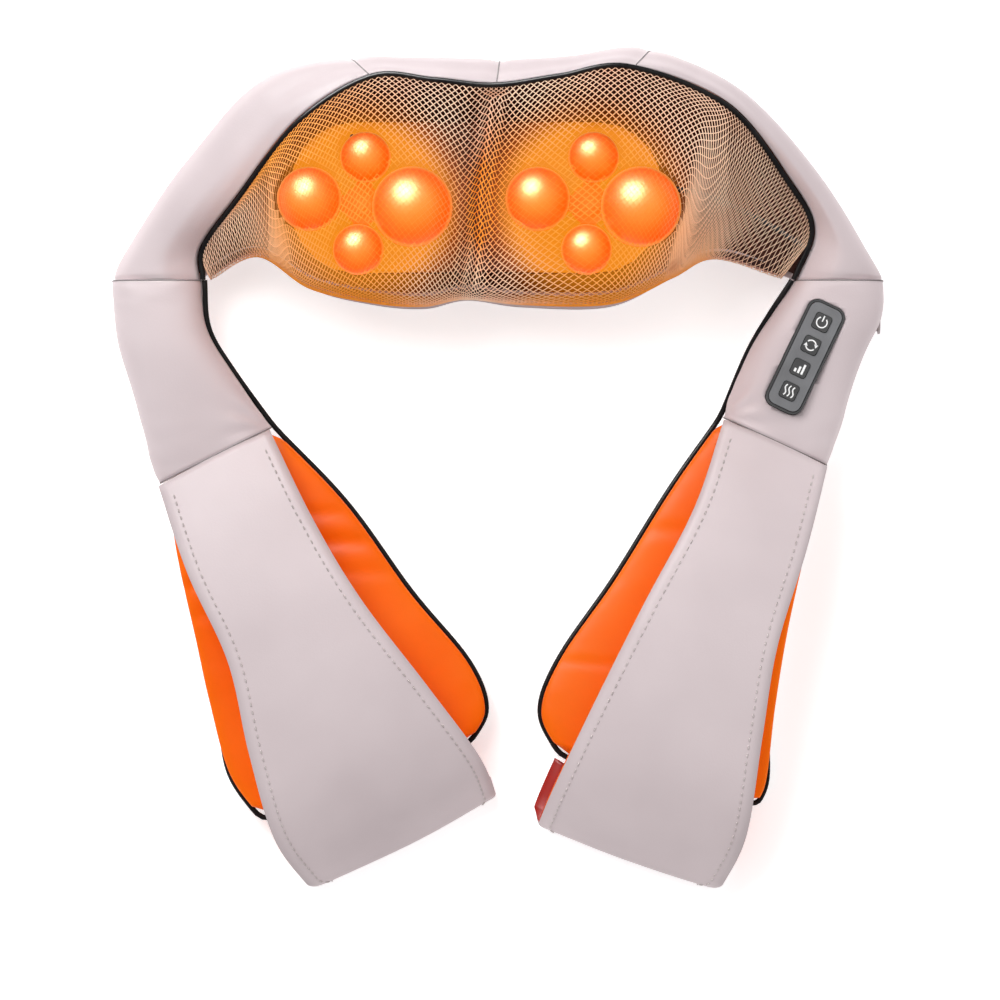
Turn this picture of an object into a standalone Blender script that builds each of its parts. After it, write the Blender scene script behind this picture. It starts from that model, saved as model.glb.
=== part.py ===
"""Shiatsu neck massager: a padded U-shaped collar with a motor-driven massage module behind
a mesh cover, and two soft arms that end in hand loops.

The object lies on its back: +Z points out of the massage side, +Y to the top of the collar,
and the origin is on the table under the middle of the object.
Every number below is in millimetres; mesh_object turns them into metres.
"""

from math import atan, ceil, cos, pi, radians, sin, sqrt, tan

import bmesh
import bpy
from mathutils import Matrix, Vector

MM = 0.001
GAP = 0.35                # between pieces that touch

# Massage module
MODULE_X = -12.5          # middle of the module
HEAD_Y = 149.0            # line through both carrier axes
CARRIER_SPACING = 128.0
SHAFT_Z = 27.0            # motor and worm axis
WHEEL_TEETH = 26
GEAR_MODULE = 1.5
WORM_PITCH_R = 5.5
WHEEL_PITCH_R = WHEEL_TEETH * GEAR_MODULE / 2
CENTRE_DISTANCE = WHEEL_PITCH_R + WORM_PITCH_R
LEAD = pi * GEAR_MODULE   # single-start worm
PRESSURE_ANGLE = radians(20)
BACKLASH = 0.5
WHEEL_THICK = 7.0
MOTOR_R = 13.85
MOTOR_LENGTH = 38.0
MOTOR_SHAFT_R = 2.5
MOTOR_SHAFT_HALF = 86.0
BUSH_AT = 83.0            # of the motor shaft's bushes, from the module's middle
SADDLE_AT = 12.0          # of the motor's saddles, from the module's middle
OUTPUT_SHAFT_R = 4.0
SHAFT_FIT = 0.2           # radial play of a pressed or sliding part
CARRIER_Z = (51.0, 56.8)
HEATER_Z = 47.0
HEATER_R = (13.0, 24.0)
LAMP_RING_R = 18.5

# Heads: (name, distance from the carrier axis, direction in degrees, ball radius)
HEADS = (
    ("large", 28.5, -4.5, 22.5),
    ("medium", 29.5, 175.5, 18.0),
    ("small_upper", 26.0, 85.5, 14.2),
    ("small_lower", 26.0, 265.5, 14.2),
)
HEAD_BASE_Z = 58.5
HEAD_NECK = 0.8           # height of a ball's centre above its flat base, in radii
POST_R = 3.0
BALL_LOW = -0.93          # angle at which a ball's round starts above its base

# Housing of the module
HOUSING_HALF = (105.0, 42.0)
HOUSING_Y = 154.0
HOUSING_CORNER = 36.0
HOUSING_FLOOR_Z = 6.0
HOUSING_SPLIT_Z = 44.0
HOUSING_WALL = 2.5
SCREW_HALF = (70.0, 34.0) # of the four housing screws, from the housing's middle
SCREW_CLEAR_R = 1.8

# Control panel on the right arm
PANEL_AT = (173.5, 63.5)
PANEL_TURN = radians(-25.5)
PANEL_SIZE = (19.2, 62.8)
PANEL_TOP_Z = 48.0
BUTTON_SIDE = 9.3
BUTTON_SPACING = 14.3
BUTTON_PROUD = 0.8
TRAY_LOW_Z = 35.0
TRAY_MARGIN = 1.6
INLET_AT = (216.6, 84.0, 22.0)
LEAD_R = 1.5
BUTTONS = ("heat", "intensity", "direction", "power")   # from the bottom up

# Soft parts
SEAM_Y = 107.0            # where the arms are sewn to the collar
RIM_LOW_Z = 34.0          # height of the piping at the arms
RIM_RISE = 50.0           # how much higher it is over the lobes
HEM_Z = 12.0              # height of the lower edges of the mesh and the leather
ARM_TOP_Z = 46.0
LEATHER = 5.0             # leather with its foam backing
PAD_SPLIT_Z = (14.5, 15.0)
PAD_TOP_Z = 31.0
MESH_CLOTH = 1.6
PIPING_R = 1.7
PIPING_CLEAR = 4.7        # from the piping's middle to the leather and the cloth beside it
STRAP_THICK = 2.0
LINING_THICK = 1.2
STRAP_STATIONS = 24
TURN_SHARE = 0.74         # from here on the strap runs back under itself
LINED_STATIONS = 18       # the lining stops before the fold

# Collar sections from the left arm round to the right arm:
# outer silhouette (x, y), piping (x, y, z), lower silhouette (x, y), top of the mesh z
COLLAR = (
    ((-219.5, 107.4), (-167.5, 107.4, 34), (-163.0, 107.4), 34),
    ((-211.8, 124.0), (-166.8, 126.0, 38), (-161.0, 108.5), 40),
    ((-177.5, 174.0), (-145.5, 152.5, 63), (-135.0, 119.0), 90),
    ((-132.5, 221.0), (-111.5, 194.0, 85), (-106.0, 101.0), 104),
    ((-84.0, 232.5), (-71.0, 219.0, 86), (-71.0, 93.0), 104),
    ((-40.0, 233.0), (-36.0, 217.0, 88), (-42.0, 91.0), 104),
    ((0.0, 232.0), (-2.0, 214.0, 88), (-18.0, 95.5), 89),
    ((40.0, 233.5), (34.0, 219.0, 88), (14.0, 92.0), 104),
    ((84.0, 237.5), (73.0, 224.5, 86), (64.0, 92.5), 104),
    ((136.0, 216.0), (128.0, 203.5, 74), (98.0, 107.0), 101),
    ((180.0, 171.0), (164.0, 161.5, 50), (122.0, 118.5), 64),
    ((211.2, 122.0), (177.5, 136.5, 38), (157.0, 109.0), 41),
    ((219.5, 107.4), (167.5, 107.4, 34), (163.0, 107.4), 34),
)

# Plan edges of each arm from the collar down: outer edge and inner edge
ARMS = {
    "left": {
        "upper": (
            ((-219.5, 107.0), (-217.0, 77.0), (-209.5, 48.0), (-193.8, -8.6)),
            ((-167.5, 107.0), (-165.3, 80.0), (-151.6, 56.0), (-128.8, 23.9)),
        ),
        "pad": (
            ((-188.0, -8.6), (-183.0, -48.0), (-172.2, -97.0), (-164.5, -132.0),
             (-153.0, -173.0), (-134.5, -199.5)),
            ((-128.8, 23.9), (-87.0, -19.5), (-50.5, -70.0), (-18.0, -109.0),
             (-7.5, -136.0), (-16.0, -155.0)),
        ),
        "strap": (
            ((-193.0, -9.7), (-175.5, -59.0), (-152.5, -108.3), (-140.8, -160.0),
             (-127.0, -209.8), (-107.5, -240.0)),
            ((-129.5, 22.8), (-103.0, -30.0), (-76.0, -74.1), (-39.5, -122.0),
             (-10.3, -162.5), (-0.6, -186.4)),
        ),
        "return_shift": 0.0,
        "return_reach": 1.0,
    },
    "right": {
        "upper": (
            ((219.5, 107.0), (218.0, 86.0), (206.8, 62.0), (187.5, 2.0)),
            ((167.5, 107.0), (155.0, 88.0), (142.5, 66.0), (127.7, 29.6)),
        ),
        "pad": (
            ((184.5, 2.0), (175.3, -44.0), (165.0, -91.2), (157.8, -135.0),
             (152.8, -176.0), (147.2, -190.5)),
            ((127.7, 29.6), (99.0, -11.0), (66.7, -62.7), (36.0, -107.0),
             (24.5, -138.0), (35.3, -162.5)),
        ),
        "strap": (
            ((187.0, 1.3), (174.5, -45.0), (157.4, -99.8), (149.0, -152.0),
             (140.8, -208.0), (127.0, -240.5)),
            ((127.7, 28.5), (110.0, -22.0), (80.9, -77.0), (53.0, -133.0),
             (31.4, -179.6), (22.2, -203.0)),
        ),
        "return_shift": 5.0,
        "return_reach": 2.6,
    },
}
# Side shape of a hand strap: share of its length, height of its outer face
STRAP_PROFILE = (
    (0.006, 38.5), (0.14, 52.0), (0.32, 63.0), (0.50, 64.5), (0.68, 56.0),
    (0.84, 38.0), (0.94, 22.5), (0.993, 15.0), (1.0, 9.0), (0.982, 3.6),
    (0.95, 2.5), (0.90, 2.5),
)

COLOURS = {
    "taupe_leather": (0.66, 0.60, 0.60, 0.55, 0.0),
    "orange_leather": (0.95, 0.22, 0.03, 0.5, 0.0),
    "mesh_fabric": (0.80, 0.52, 0.42, 0.7, 0.0),
    "black_piping": (0.012, 0.012, 0.012, 0.35, 0.0),
    "head_plastic": (1.0, 0.30, 0.03, 0.2, 0.0),
    "module_plastic": (0.10, 0.10, 0.11, 0.5, 0.0),
    "gear_plastic": (0.82, 0.80, 0.74, 0.4, 0.0),
    "steel": (0.60, 0.60, 0.62, 0.3, 1.0),
    "bronze": (0.55, 0.38, 0.18, 0.35, 1.0),
    "circuit_board": (0.03, 0.22, 0.09, 0.5, 0.0),
    "panel_grey": (0.28, 0.29, 0.31, 0.45, 0.0),
    "button_black": (0.015, 0.015, 0.017, 0.4, 0.0),
}


# ---------------------------------------------------------------- helpers

def material(name):
    found = bpy.data.materials.get(name)
    if found:
        return found
    red, green, blue, roughness, metallic = COLOURS[name]
    made = bpy.data.materials.new(name)
    made.use_nodes = True
    shader = made.node_tree.nodes["Principled BSDF"]
    shader.inputs["Base Color"].default_value = (red, green, blue, 1)
    shader.inputs["Roughness"].default_value = roughness
    shader.inputs["Metallic"].default_value = metallic
    return made


def mesh_object(name, points, faces, look=None):
    """An object from points in millimetres; without a look it is a hidden cutter."""
    mesh = bpy.data.meshes.new(name)
    mesh.from_pydata([Vector(p) * MM for p in points], [], faces)
    bm = bmesh.new()
    bm.from_mesh(mesh)
    bmesh.ops.remove_doubles(bm, verts=bm.verts, dist=1e-6)
    bmesh.ops.dissolve_degenerate(bm, edges=bm.edges, dist=1e-7)
    bmesh.ops.recalc_face_normals(bm, faces=bm.faces)
    bm.to_mesh(mesh)
    bm.free()
    return place(bpy.data.objects.new(name, mesh), look)


def place(obj, look):
    bpy.context.scene.collection.objects.link(obj)
    if look:
        obj.data.materials.append(material(look))
    else:
        obj.hide_render = True
        obj.display_type = "WIRE"
    if obj.type == "MESH":
        obj.data.shade_smooth()
        obj.data.set_sharp_from_angle(angle=radians(35))
    return obj


def moved(obj, at=(0, 0, 0), turn=(0, 0, 0)):
    obj.location = Vector(at) * MM
    obj.rotation_euler = turn
    return obj


def grouped(pieces):
    """One cutter made of pieces that don't meet each other."""
    mesh = bpy.data.meshes.new(pieces[0].name + "_group")
    bm = bmesh.new()
    for piece in pieces:
        part = piece.data.copy()
        part.transform(piece.matrix_basis)
        bm.from_mesh(part)
        bpy.data.objects.remove(piece)
    bm.to_mesh(mesh)
    bm.free()
    return place(bpy.data.objects.new(mesh.name, mesh), None)


def boolean(obj, others, operation="DIFFERENCE"):
    """Cuts the others from obj, or joins them to it. The others don't meet each other."""
    modifier = obj.modifiers.new(operation.title(), "BOOLEAN")
    modifier.operation = operation
    modifier.solver = "EXACT"
    modifier.object = grouped(others)
    return obj


def lofted(name, rings, look=None):
    """A closed solid through rings that all have the same number of points."""
    n = len(rings[0])
    points = [p for ring in rings for p in ring]
    faces = [
        (r * n + i, r * n + (i + 1) % n, (r + 1) * n + (i + 1) % n, (r + 1) * n + i)
        for r in range(len(rings) - 1) for i in range(n)
    ]
    last = (len(rings) - 1) * n
    faces += [tuple(range(n)), tuple(last + i for i in range(n))]
    return mesh_object(name, points, faces, look)


def turned(name, profile, look=None, segments=24, ring=False):
    """A solid of revolution about Z from (radius, z) points; a ring's profile is closed."""
    points, faces, rows = [], [], []
    for radius, z in profile:
        if radius < 1e-6:
            rows.append([len(points)] * segments)
            points.append((0, 0, z))
            continue
        rows.append([len(points) + k for k in range(segments)])
        points += [
            (radius * cos(2 * pi * k / segments), radius * sin(2 * pi * k / segments), z)
            for k in range(segments)
        ]
    pairs = list(zip(rows, rows[1:]))
    if ring:
        pairs.append((rows[-1], rows[0]))
    for low, high in pairs:
        for k in range(segments):
            corners = (low[k], low[(k + 1) % segments], high[(k + 1) % segments], high[k])
            face = tuple(dict.fromkeys(corners))
            if len(face) > 2:
                faces.append(face)
    return mesh_object(name, points, faces, look)


def rounded_outline(half_x, half_y, corner, steps=5):
    """A rounded rectangle about the origin, as (x, y) points."""
    points = []
    for turn, (sx, sy) in enumerate(((1, 1), (-1, 1), (-1, -1), (1, -1))):
        for k in range(steps + 1):
            angle = pi / 2 * (turn + k / steps)
            points.append((
                sx * (half_x - corner) + corner * cos(angle),
                sy * (half_y - corner) + corner * sin(angle),
            ))
    return points


def plate(name, outline, low, high, look=None):
    return lofted(name, [[(x, y, z) for x, y in outline] for z in (low, high)], look)


def smooth(points, share):
    """The point at a share of the way along a Catmull-Rom curve through the points."""
    spans = len(points) - 1
    at = min(max(share, 0.0), 1.0) * spans
    i = min(int(at), spans - 1)
    t = at - i
    p1, p2 = Vector(points[i]), Vector(points[i + 1])
    p0 = Vector(points[i - 1]) if i else 2 * p1 - p2
    p3 = Vector(points[i + 2]) if i + 2 < len(points) else 2 * p2 - p1
    return 0.5 * (
        2 * p1 + (p2 - p0) * t + (2 * p0 - 5 * p1 + 4 * p2 - p3) * t * t
        + (3 * p1 - p0 - 3 * p2 + p3) * t ** 3
    )


def tube(name, path, radius, look, sides_step=1):
    """A round cord along the path, with closed ends."""
    curve = bpy.data.curves.new(name, "CURVE")
    curve.dimensions = "3D"
    curve.bevel_depth = radius * MM
    curve.bevel_resolution = sides_step
    curve.use_fill_caps = True
    line = curve.splines.new("POLY")
    line.points.add(len(path) - 1)
    for point, at in zip(line.points, path):
        point.co = (*(Vector(at) * MM), 1)
    return place(bpy.data.objects.new(name, curve), look)


# ---------------------------------------------------------------- collar

def collar_sections(count):
    """Stations along the collar, as (outer, rim, inner, crown) from the smooth key sections."""
    made = []
    for k in range(count):
        share = k / (count - 1)
        outer = smooth([s[0] for s in COLLAR], share)
        rim = smooth([s[1] for s in COLLAR], share)
        inner = smooth([s[2] for s in COLLAR], share)
        crown = smooth([(s[3], 0) for s in COLLAR], share).x
        made.append((outer, rim, inner, crown))
    return made


def leather_line(outer, rim, inner):
    """Outer face of the leather in one section, from under the mesh round to the piping."""
    across = (outer - inner).normalized()
    shoulder = max(0.0, min(1.0, (rim.z - RIM_LOW_Z) / RIM_RISE))
    lip = inner + across * 7
    floor_in = inner + across * 11
    floor_out = outer - across * 13
    side_z = 22 + 20 * shoulder
    ridge = (outer + rim.xy) / 2
    ridge_z = (1 - shoulder) * ARM_TOP_Z + shoulder * 74
    top = rim.xy - (rim.xy - outer).normalized() * PIPING_CLEAR
    flank = (outer * 2 + ridge) / 3
    return [
        Vector((*lip, HEM_Z)),
        Vector((*lip, 4)),
        Vector((*floor_in, 0)),
        Vector((*floor_out, 0)),
        Vector((*(outer - across * 3), side_z * 0.4)),
        Vector((*outer, side_z)),
        Vector((*flank, (side_z + ridge_z * 1.2) / 2)),
        Vector((*ridge, ridge_z)),
        Vector((*((ridge + top) / 2), (ridge_z + rim.z) / 2 + 2)),
        Vector((*top, rim.z)),
    ]


def mesh_line(rim, inner, crown):
    """Outer face of the mesh cloth in one section, from the piping over the heads and down."""
    across = inner - rim.xy
    length = across.length
    across.normalize()
    span, drop = length - PIPING_CLEAR, crown - HEM_Z
    rising = ((0, 0), (0.10, 0.55), (0.26, 0.92), (0.48, 1))
    shape = [(PIPING_CLEAR + span * d, rim.z + (crown - rim.z) * z) for d, z in rising]
    falling = ((0.70, 0.008), (0.87, 0.04), (0.965, 0.13), (1, 0.38))
    shape += [(PIPING_CLEAR + span * d, crown - drop * z) for d, z in falling]
    shape += [(length - 2.5, HEM_Z + 0.3 * drop), (length - 7, HEM_Z + GAP)]
    return [Vector((*(rim.xy + across * d), z)) for d, z in shape]


def shell(name, rows, thickness, look, upright_edge=False):
    """A wall of even thickness behind a grid of points whose faces point outwards.

    An upright edge at the first column keeps the wall clear of the piping beside it.
    """
    n, m = len(rows), len(rows[0])
    backs = []
    for i in range(n):
        back = []
        for j in range(m):
            along = rows[min(i + 1, n - 1)][j] - rows[max(i - 1, 0)][j]
            across = rows[i][min(j + 1, m - 1)] - rows[i][max(j - 1, 0)]
            normal = along.cross(across).normalized()
            if i in (0, n - 1):
                normal.y = 0
                normal.normalize()
            if j == 0 and upright_edge:
                normal = Vector((0, 0, 1))
            back.append(rows[i][j] - normal * thickness)
        backs.append(back)
    rings = [front + back[::-1] for front, back in zip(rows, backs)]
    return lofted(name, rings, look)


def make_collar():
    """Leather shell, mesh cover and piping of the collar."""
    sections = collar_sections(22)
    leather = [leather_line(outer, rim, inner) for outer, rim, inner, _ in sections]
    shell("neck_cover", [row[::-1] for row in leather], LEATHER, "taupe_leather",
          upright_edge=True)
    cloth = [mesh_line(rim, inner, crown) for _, rim, inner, crown in sections[2:-2]]
    shell("mesh_cover", [row[::-1] for row in cloth], MESH_CLOTH, "mesh_fabric")
    path = [rim for _, rim, _, _ in collar_sections(37)]
    path[0].y = path[-1].y = SEAM_Y + 1.2
    tube("neck_piping", path, PIPING_R, "black_piping")


# ---------------------------------------------------------------- massage module

def carrier_axis(side):
    return MODULE_X + side * CARRIER_SPACING / 2


def make_housings():
    """Rear tray and front cover of the module, with the screws that hold them together."""
    outline = rounded_outline(*HOUSING_HALF, HOUSING_CORNER)
    inside = rounded_outline(
        HOUSING_HALF[0] - HOUSING_WALL, HOUSING_HALF[1] - HOUSING_WALL,
        HOUSING_CORNER - HOUSING_WALL,
    )
    at = (MODULE_X, HOUSING_Y, 0)
    floor = HOUSING_FLOOR_Z + HOUSING_WALL
    rear = moved(plate("rear_housing", outline, HOUSING_FLOOR_Z, HOUSING_SPLIT_Z - GAP,
                       "module_plastic"), at)
    cavity = moved(plate("housing_cavity", inside, floor, HOUSING_SPLIT_Z + 5), at)
    boolean(rear, [cavity])
    joined, cut = [], []
    for side in (-1, 1):
        boss = turned("bearing_boss", [(0, floor - 1), (9, floor - 1), (9, 16), (0, 16)],
                      segments=20)
        seat = turned("bearing_seat", [(0, 9.4), (7.3, 9.4), (7.3, 20), (0, 20)], segments=20)
        for piece in (boss, seat):
            moved(piece, (carrier_axis(side), HEAD_Y, 0))
        joined.append(boss)
        cut.append(seat)
        cradle = plate("shaft_cradle", rounded_outline(3.5, 7, 1, 1), floor - 1, SHAFT_Z + 1.3)
        moved(cradle, (MODULE_X + side * BUSH_AT, HEAD_Y + CENTRE_DISTANCE, 0))
        joined.append(cradle)
        saddle = plate("motor_saddle", rounded_outline(2.5, 15, 1, 1), floor - 1, SHAFT_Z - 4)
        moved(saddle, (MODULE_X + side * SADDLE_AT, HEAD_Y + CENTRE_DISTANCE, 0))
        joined.append(saddle)
    channel = moved(
        turned("shaft_channel", [(0, -95), (5.4, -95), (5.4, 95), (0, 95)], segments=16),
        (MODULE_X, HEAD_Y + CENTRE_DISTANCE, SHAFT_Z), (0, pi / 2, 0))
    cut.append(moved(
        turned("motor_channel", [(0, -25), (MOTOR_R + GAP, -25), (MOTOR_R + GAP, 25), (0, 25)]),
        (MODULE_X, HEAD_Y + CENTRE_DISTANCE, SHAFT_Z), (0, pi / 2, 0)))
    screw_at = [(sx * SCREW_HALF[0], sy * SCREW_HALF[1]) for sx in (-1, 1) for sy in (-1, 1)]
    for x, y in screw_at:
        post = turned("screw_post", [(0, floor - 1), (4.5, floor - 1), (4.5, 42), (0, 42)],
                      segments=10)
        hole = turned("screw_hole", [(0, 2), (2.9, 2), (2.9, 9.6), (SCREW_CLEAR_R, 9.6),
                                     (SCREW_CLEAR_R, 45), (0, 45)], segments=10)
        for piece in (post, hole):
            moved(piece, (MODULE_X + x, HOUSING_Y + y, 0))
        joined.append(post)
        cut.append(hole)
    boolean(rear, joined, "UNION")
    boolean(rear, cut)
    boolean(rear, [channel])

    lid = moved(plate("front_housing", outline, HOUSING_SPLIT_Z, HOUSING_SPLIT_Z + HOUSING_WALL,
                      "module_plastic"), at)
    collars, bores = [], []
    for side in (-1, 1):
        neck = turned("output_neck", [(0, 39), (8.5, 39), (8.5, 50), (0, 50)], segments=16)
        bore = turned("output_bore", [(0, 30), (OUTPUT_SHAFT_R + 0.25, 30),
                                      (OUTPUT_SHAFT_R + 0.25, 60), (0, 60)], segments=18)
        for piece in (neck, bore):
            moved(piece, (carrier_axis(side), HEAD_Y, 0))
        collars.append(neck)
        bores.append(bore)
    for x, y in screw_at:
        bores.append(moved(
            turned("lid_hole", [(0, 40), (SCREW_CLEAR_R, 40), (SCREW_CLEAR_R, 50), (0, 50)],
                   segments=8),
            (MODULE_X + x, HOUSING_Y + y, 0)))
    boolean(lid, collars, "UNION")
    boolean(lid, bores)
    for k, (x, y) in enumerate(screw_at, 1):
        profile = [(0, 6.3), (2.6, 6.3), (2.6, 9.1), (1.4, 9.1), (1.4, 45.5), (0, 45.5)]
        screw = turned(f"housing_screw_{k}", profile, "steel", segments=8)
        moved(screw, (MODULE_X + x, HOUSING_Y + y, 0))


def tooth_half_angle(radius):
    """Half the angle that a wheel tooth covers at a radius: an involute less its backlash."""
    base = WHEEL_PITCH_R * cos(PRESSURE_ANGLE)
    at = max(radius, base)
    angle = pi / 2 - atan(base / sqrt(max(at * at - base * base, 1e-9)))
    involute = (tan(PRESSURE_ANGLE) - PRESSURE_ANGLE) - (tan(angle) - angle)
    return pi / (2 * WHEEL_TEETH) + involute - BACKLASH / 2 / WHEEL_PITCH_R


def make_wheel(name, at):
    """Helical worm wheel; its tooth gap faces the worm at rest."""
    root, tip = WHEEL_PITCH_R - 1.25 * GEAR_MODULE, WHEEL_PITCH_R + 0.9 * GEAR_MODULE
    lead_angle = atan(LEAD / (2 * pi * WORM_PITCH_R))
    rings = []
    for layer in (-1, 1):
        twist = -layer * WHEEL_THICK / 2 * tan(lead_angle) / WHEEL_PITCH_R
        ring = []
        for tooth in range(WHEEL_TEETH):
            middle = pi / 2 + (tooth + 0.5) * 2 * pi / WHEEL_TEETH + twist
            for radius, side in ((root, -1), (tip, -1), (tip, 1), (root, 1)):
                angle = middle + side * tooth_half_angle(radius)
                ring.append((radius * cos(angle), radius * sin(angle), layer * WHEEL_THICK / 2))
        rings.append(ring)
    wheel = moved(lofted(name, rings, "gear_plastic"), at)
    hub = turned("wheel_hub", [(0, -8), (9, -8), (9, 8), (0, 8)], segments=20)
    bore_r = OUTPUT_SHAFT_R + SHAFT_FIT
    bore = turned("wheel_bore", [(0, -9), (bore_r, -9), (bore_r, 9), (0, 9)], segments=20)
    boolean(wheel, [moved(hub, at)], "UNION")
    boolean(wheel, [moved(bore, at)])


def make_worm(name, at):
    """Single-start worm along X, its thread centred on the wheel's tooth gap at rest."""
    steps, root, tip = 12, WORM_PITCH_R - 1.15 * GEAR_MODULE, WORM_PITCH_R + 0.9 * GEAR_MODULE
    length = 18.0
    half_root = LEAD / 4 + 1.15 * GEAR_MODULE * tan(PRESSURE_ANGLE) - BACKLASH / 2
    half_tip = LEAD / 4 - 0.9 * GEAR_MODULE * tan(PRESSURE_ANGLE) - BACKLASH / 2
    breaks = ((-half_root, root), (-half_tip, tip), (half_tip, tip), (half_root, root))
    turns = ceil(length / LEAD) + 3
    rows = []
    for turn in range(turns):
        for offset, radius in breaks:
            row = []
            for k in range(steps):
                # The thread meets the wheel on the worm's -Y side, where it is centred at x = 0.
                angle = 2 * pi * k / steps
                x = (turn - turns // 2) * LEAD + offset + LEAD * k / steps
                row.append((x, -radius * cos(angle), radius * sin(angle)))
            rows.append(row)
    points = [p for row in rows for p in row]
    count = len(rows)
    faces = []
    for r in range(count - 1):
        for k in range(steps):
            a, b = r * steps + k, (r + 1) * steps + k
            if k < steps - 1:
                faces.append((a, a + 1, b + 1, b))
            elif r + len(breaks) + 1 < count:
                c, d = (r + len(breaks)) * steps, (r + len(breaks) + 1) * steps
                faces.append((a, c, d, b))
    ends = ((0, -1), (count - 1, 1))
    for row, sign in ends:
        hub = len(points)
        points.append((points[row * steps][0] - sign * 2, 0, 0))
        loop = [row * steps + k for k in range(steps)]
        if sign < 0:
            loop += [(len(breaks) - s) * steps for s in range(len(breaks))]
        else:
            loop = [(row - len(breaks) + s) * steps + steps - 1 for s in range(len(breaks))] + loop[::-1]
            loop = loop[len(breaks):][::-1] + loop[:len(breaks)][::-1]
        faces += [(loop[i], loop[(i + 1) % len(loop)], hub) for i in range(len(loop))]
    worm = moved(mesh_object(name, points, faces, "bronze"), at)
    blank = [(0, -length / 2), (tip + 1, -length / 2), (tip + 1, length / 2), (0, length / 2)]
    trim = moved(turned("worm_trim", blank, segments=16), at, (0, pi / 2, 0))
    bore_r = MOTOR_SHAFT_R + SHAFT_FIT
    bore = [(0, -20), (bore_r, -20), (bore_r, 20), (0, 20)]
    boolean(worm, [trim], "INTERSECT")
    boolean(worm, [moved(turned("worm_bore", bore, segments=16), at, (0, pi / 2, 0))])


def make_drive():
    """Motor, its shaft with two worms, the bushes, the wheels and the output shafts."""
    axis_y = HEAD_Y + CENTRE_DISTANCE
    along_x = (0, pi / 2, 0)
    half = MOTOR_LENGTH / 2
    can = [(0, -half), (MOTOR_R - 1, -half), (MOTOR_R, 1 - half), (MOTOR_R, half - 1),
           (MOTOR_R - 1, half), (5, half), (5, half + 2), (0, half + 2)]
    motor = moved(turned("motor", can, "steel", segments=20), (MODULE_X, axis_y, SHAFT_Z), along_x)
    clear = [(0, -30), (MOTOR_SHAFT_R + 0.3, -30), (MOTOR_SHAFT_R + 0.3, 30), (0, 30)]
    boolean(motor, [moved(turned("motor_bore", clear, segments=16),
                          (MODULE_X, axis_y, SHAFT_Z), along_x)])
    clamp = moved(turned("motor_clamp", [
        (MOTOR_R + GAP, -5), (MOTOR_R + GAP + 1.2, -5), (MOTOR_R + GAP + 1.2, 5),
        (MOTOR_R + GAP, 5)], "steel", segments=20, ring=True),
        (MODULE_X, axis_y, SHAFT_Z), along_x)
    below = plate("clamp_cut", rounded_outline(20, 20, 1, 1), -20, SHAFT_Z)
    boolean(clamp, [moved(below, (MODULE_X, axis_y, 0))])
    rod = [(0, -MOTOR_SHAFT_HALF), (MOTOR_SHAFT_R, -MOTOR_SHAFT_HALF),
           (MOTOR_SHAFT_R, MOTOR_SHAFT_HALF), (0, MOTOR_SHAFT_HALF)]
    moved(turned("motor_shaft", rod, "steel", segments=12), (MODULE_X, axis_y, SHAFT_Z), along_x)
    for side, word in ((-1, "left"), (1, "right")):
        x = carrier_axis(side)
        make_worm(f"worm_{word}", (x, axis_y, SHAFT_Z))
        make_wheel(f"worm_wheel_{word}", (x, HEAD_Y, SHAFT_Z))
        bush = [(MOTOR_SHAFT_R + SHAFT_FIT, -3), (5, -3), (5, 3), (MOTOR_SHAFT_R + SHAFT_FIT, 3)]
        moved(turned(f"shaft_bush_{word}", bush, "bronze", segments=16, ring=True),
              (MODULE_X + side * BUSH_AT, axis_y, SHAFT_Z), along_x)
        seat_r = OUTPUT_SHAFT_R + SHAFT_FIT
        seat = [(seat_r, 9.8), (6.9, 9.8), (6.9, 16.5), (seat_r, 16.5)]
        moved(turned(f"output_bush_{word}", seat, "bronze", segments=20, ring=True),
              (x, HEAD_Y, 0))
        shaft = [(0, 9.8), (OUTPUT_SHAFT_R, 9.8), (OUTPUT_SHAFT_R, 57), (3, 57), (3, 62), (0, 62)]
        moved(turned(f"output_shaft_{word}", shaft, "steel", segments=16), (x, HEAD_Y, 0))


def head_spots(side):
    """Each head's name, plan position and radius on one carrier."""
    for name, distance, direction, radius in HEADS:
        angle = radians(direction)
        x, y = carrier_axis(side) + distance * cos(angle), HEAD_Y + distance * sin(angle)
        yield name, (x, y), radius


def make_carrier(side, word):
    """Four-armed carrier with a post for each head, and the nut that holds it on its shaft."""
    x = carrier_axis(side)
    low, high = CARRIER_Z
    bore_r = OUTPUT_SHAFT_R + SHAFT_FIT
    hub = [(bore_r, low), (11, low), (11, high), (bore_r, high)]
    carrier = moved(turned(f"carrier_{word}", hub, "module_plastic", segments=20, ring=True),
                    (x, HEAD_Y, 0))
    arms, posts = [], []
    for _, (px, py), radius in head_spots(side):
        reach = Vector((px - x, py - HEAD_Y))
        arm = plate("carrier_arm", rounded_outline((reach.length - 7) / 2, 4.5, 1, 1),
                    low + 0.5, high - 0.8)
        middle = reach * (0.5 + 3.5 / reach.length)
        turn = reach.angle_signed(Vector((1, 0)))
        arms.append(moved(arm, (x + middle.x, HEAD_Y + middle.y, 0), (0, 0, turn)))
        post_top = HEAD_BASE_Z + radius * 1.05
        post = turned("carrier_post", [
            (0, low + 0.2), (7.5, low + 0.2), (7.5, 57), (POST_R + 1.5, HEAD_BASE_Z - 0.4),
            (POST_R, HEAD_BASE_Z - 0.4), (POST_R, post_top), (0, post_top)], segments=10)
        posts.append(moved(post, (px, py, 0)))
    boolean(carrier, arms, "UNION")
    boolean(carrier, posts, "UNION")
    nut = [(3.3, 57.2), (5.6, 57.2), (5.6, 60.5), (3.3, 60.5)]
    moved(turned(f"carrier_nut_{word}", nut, "steel", segments=12, ring=True), (x, HEAD_Y, 0))


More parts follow.
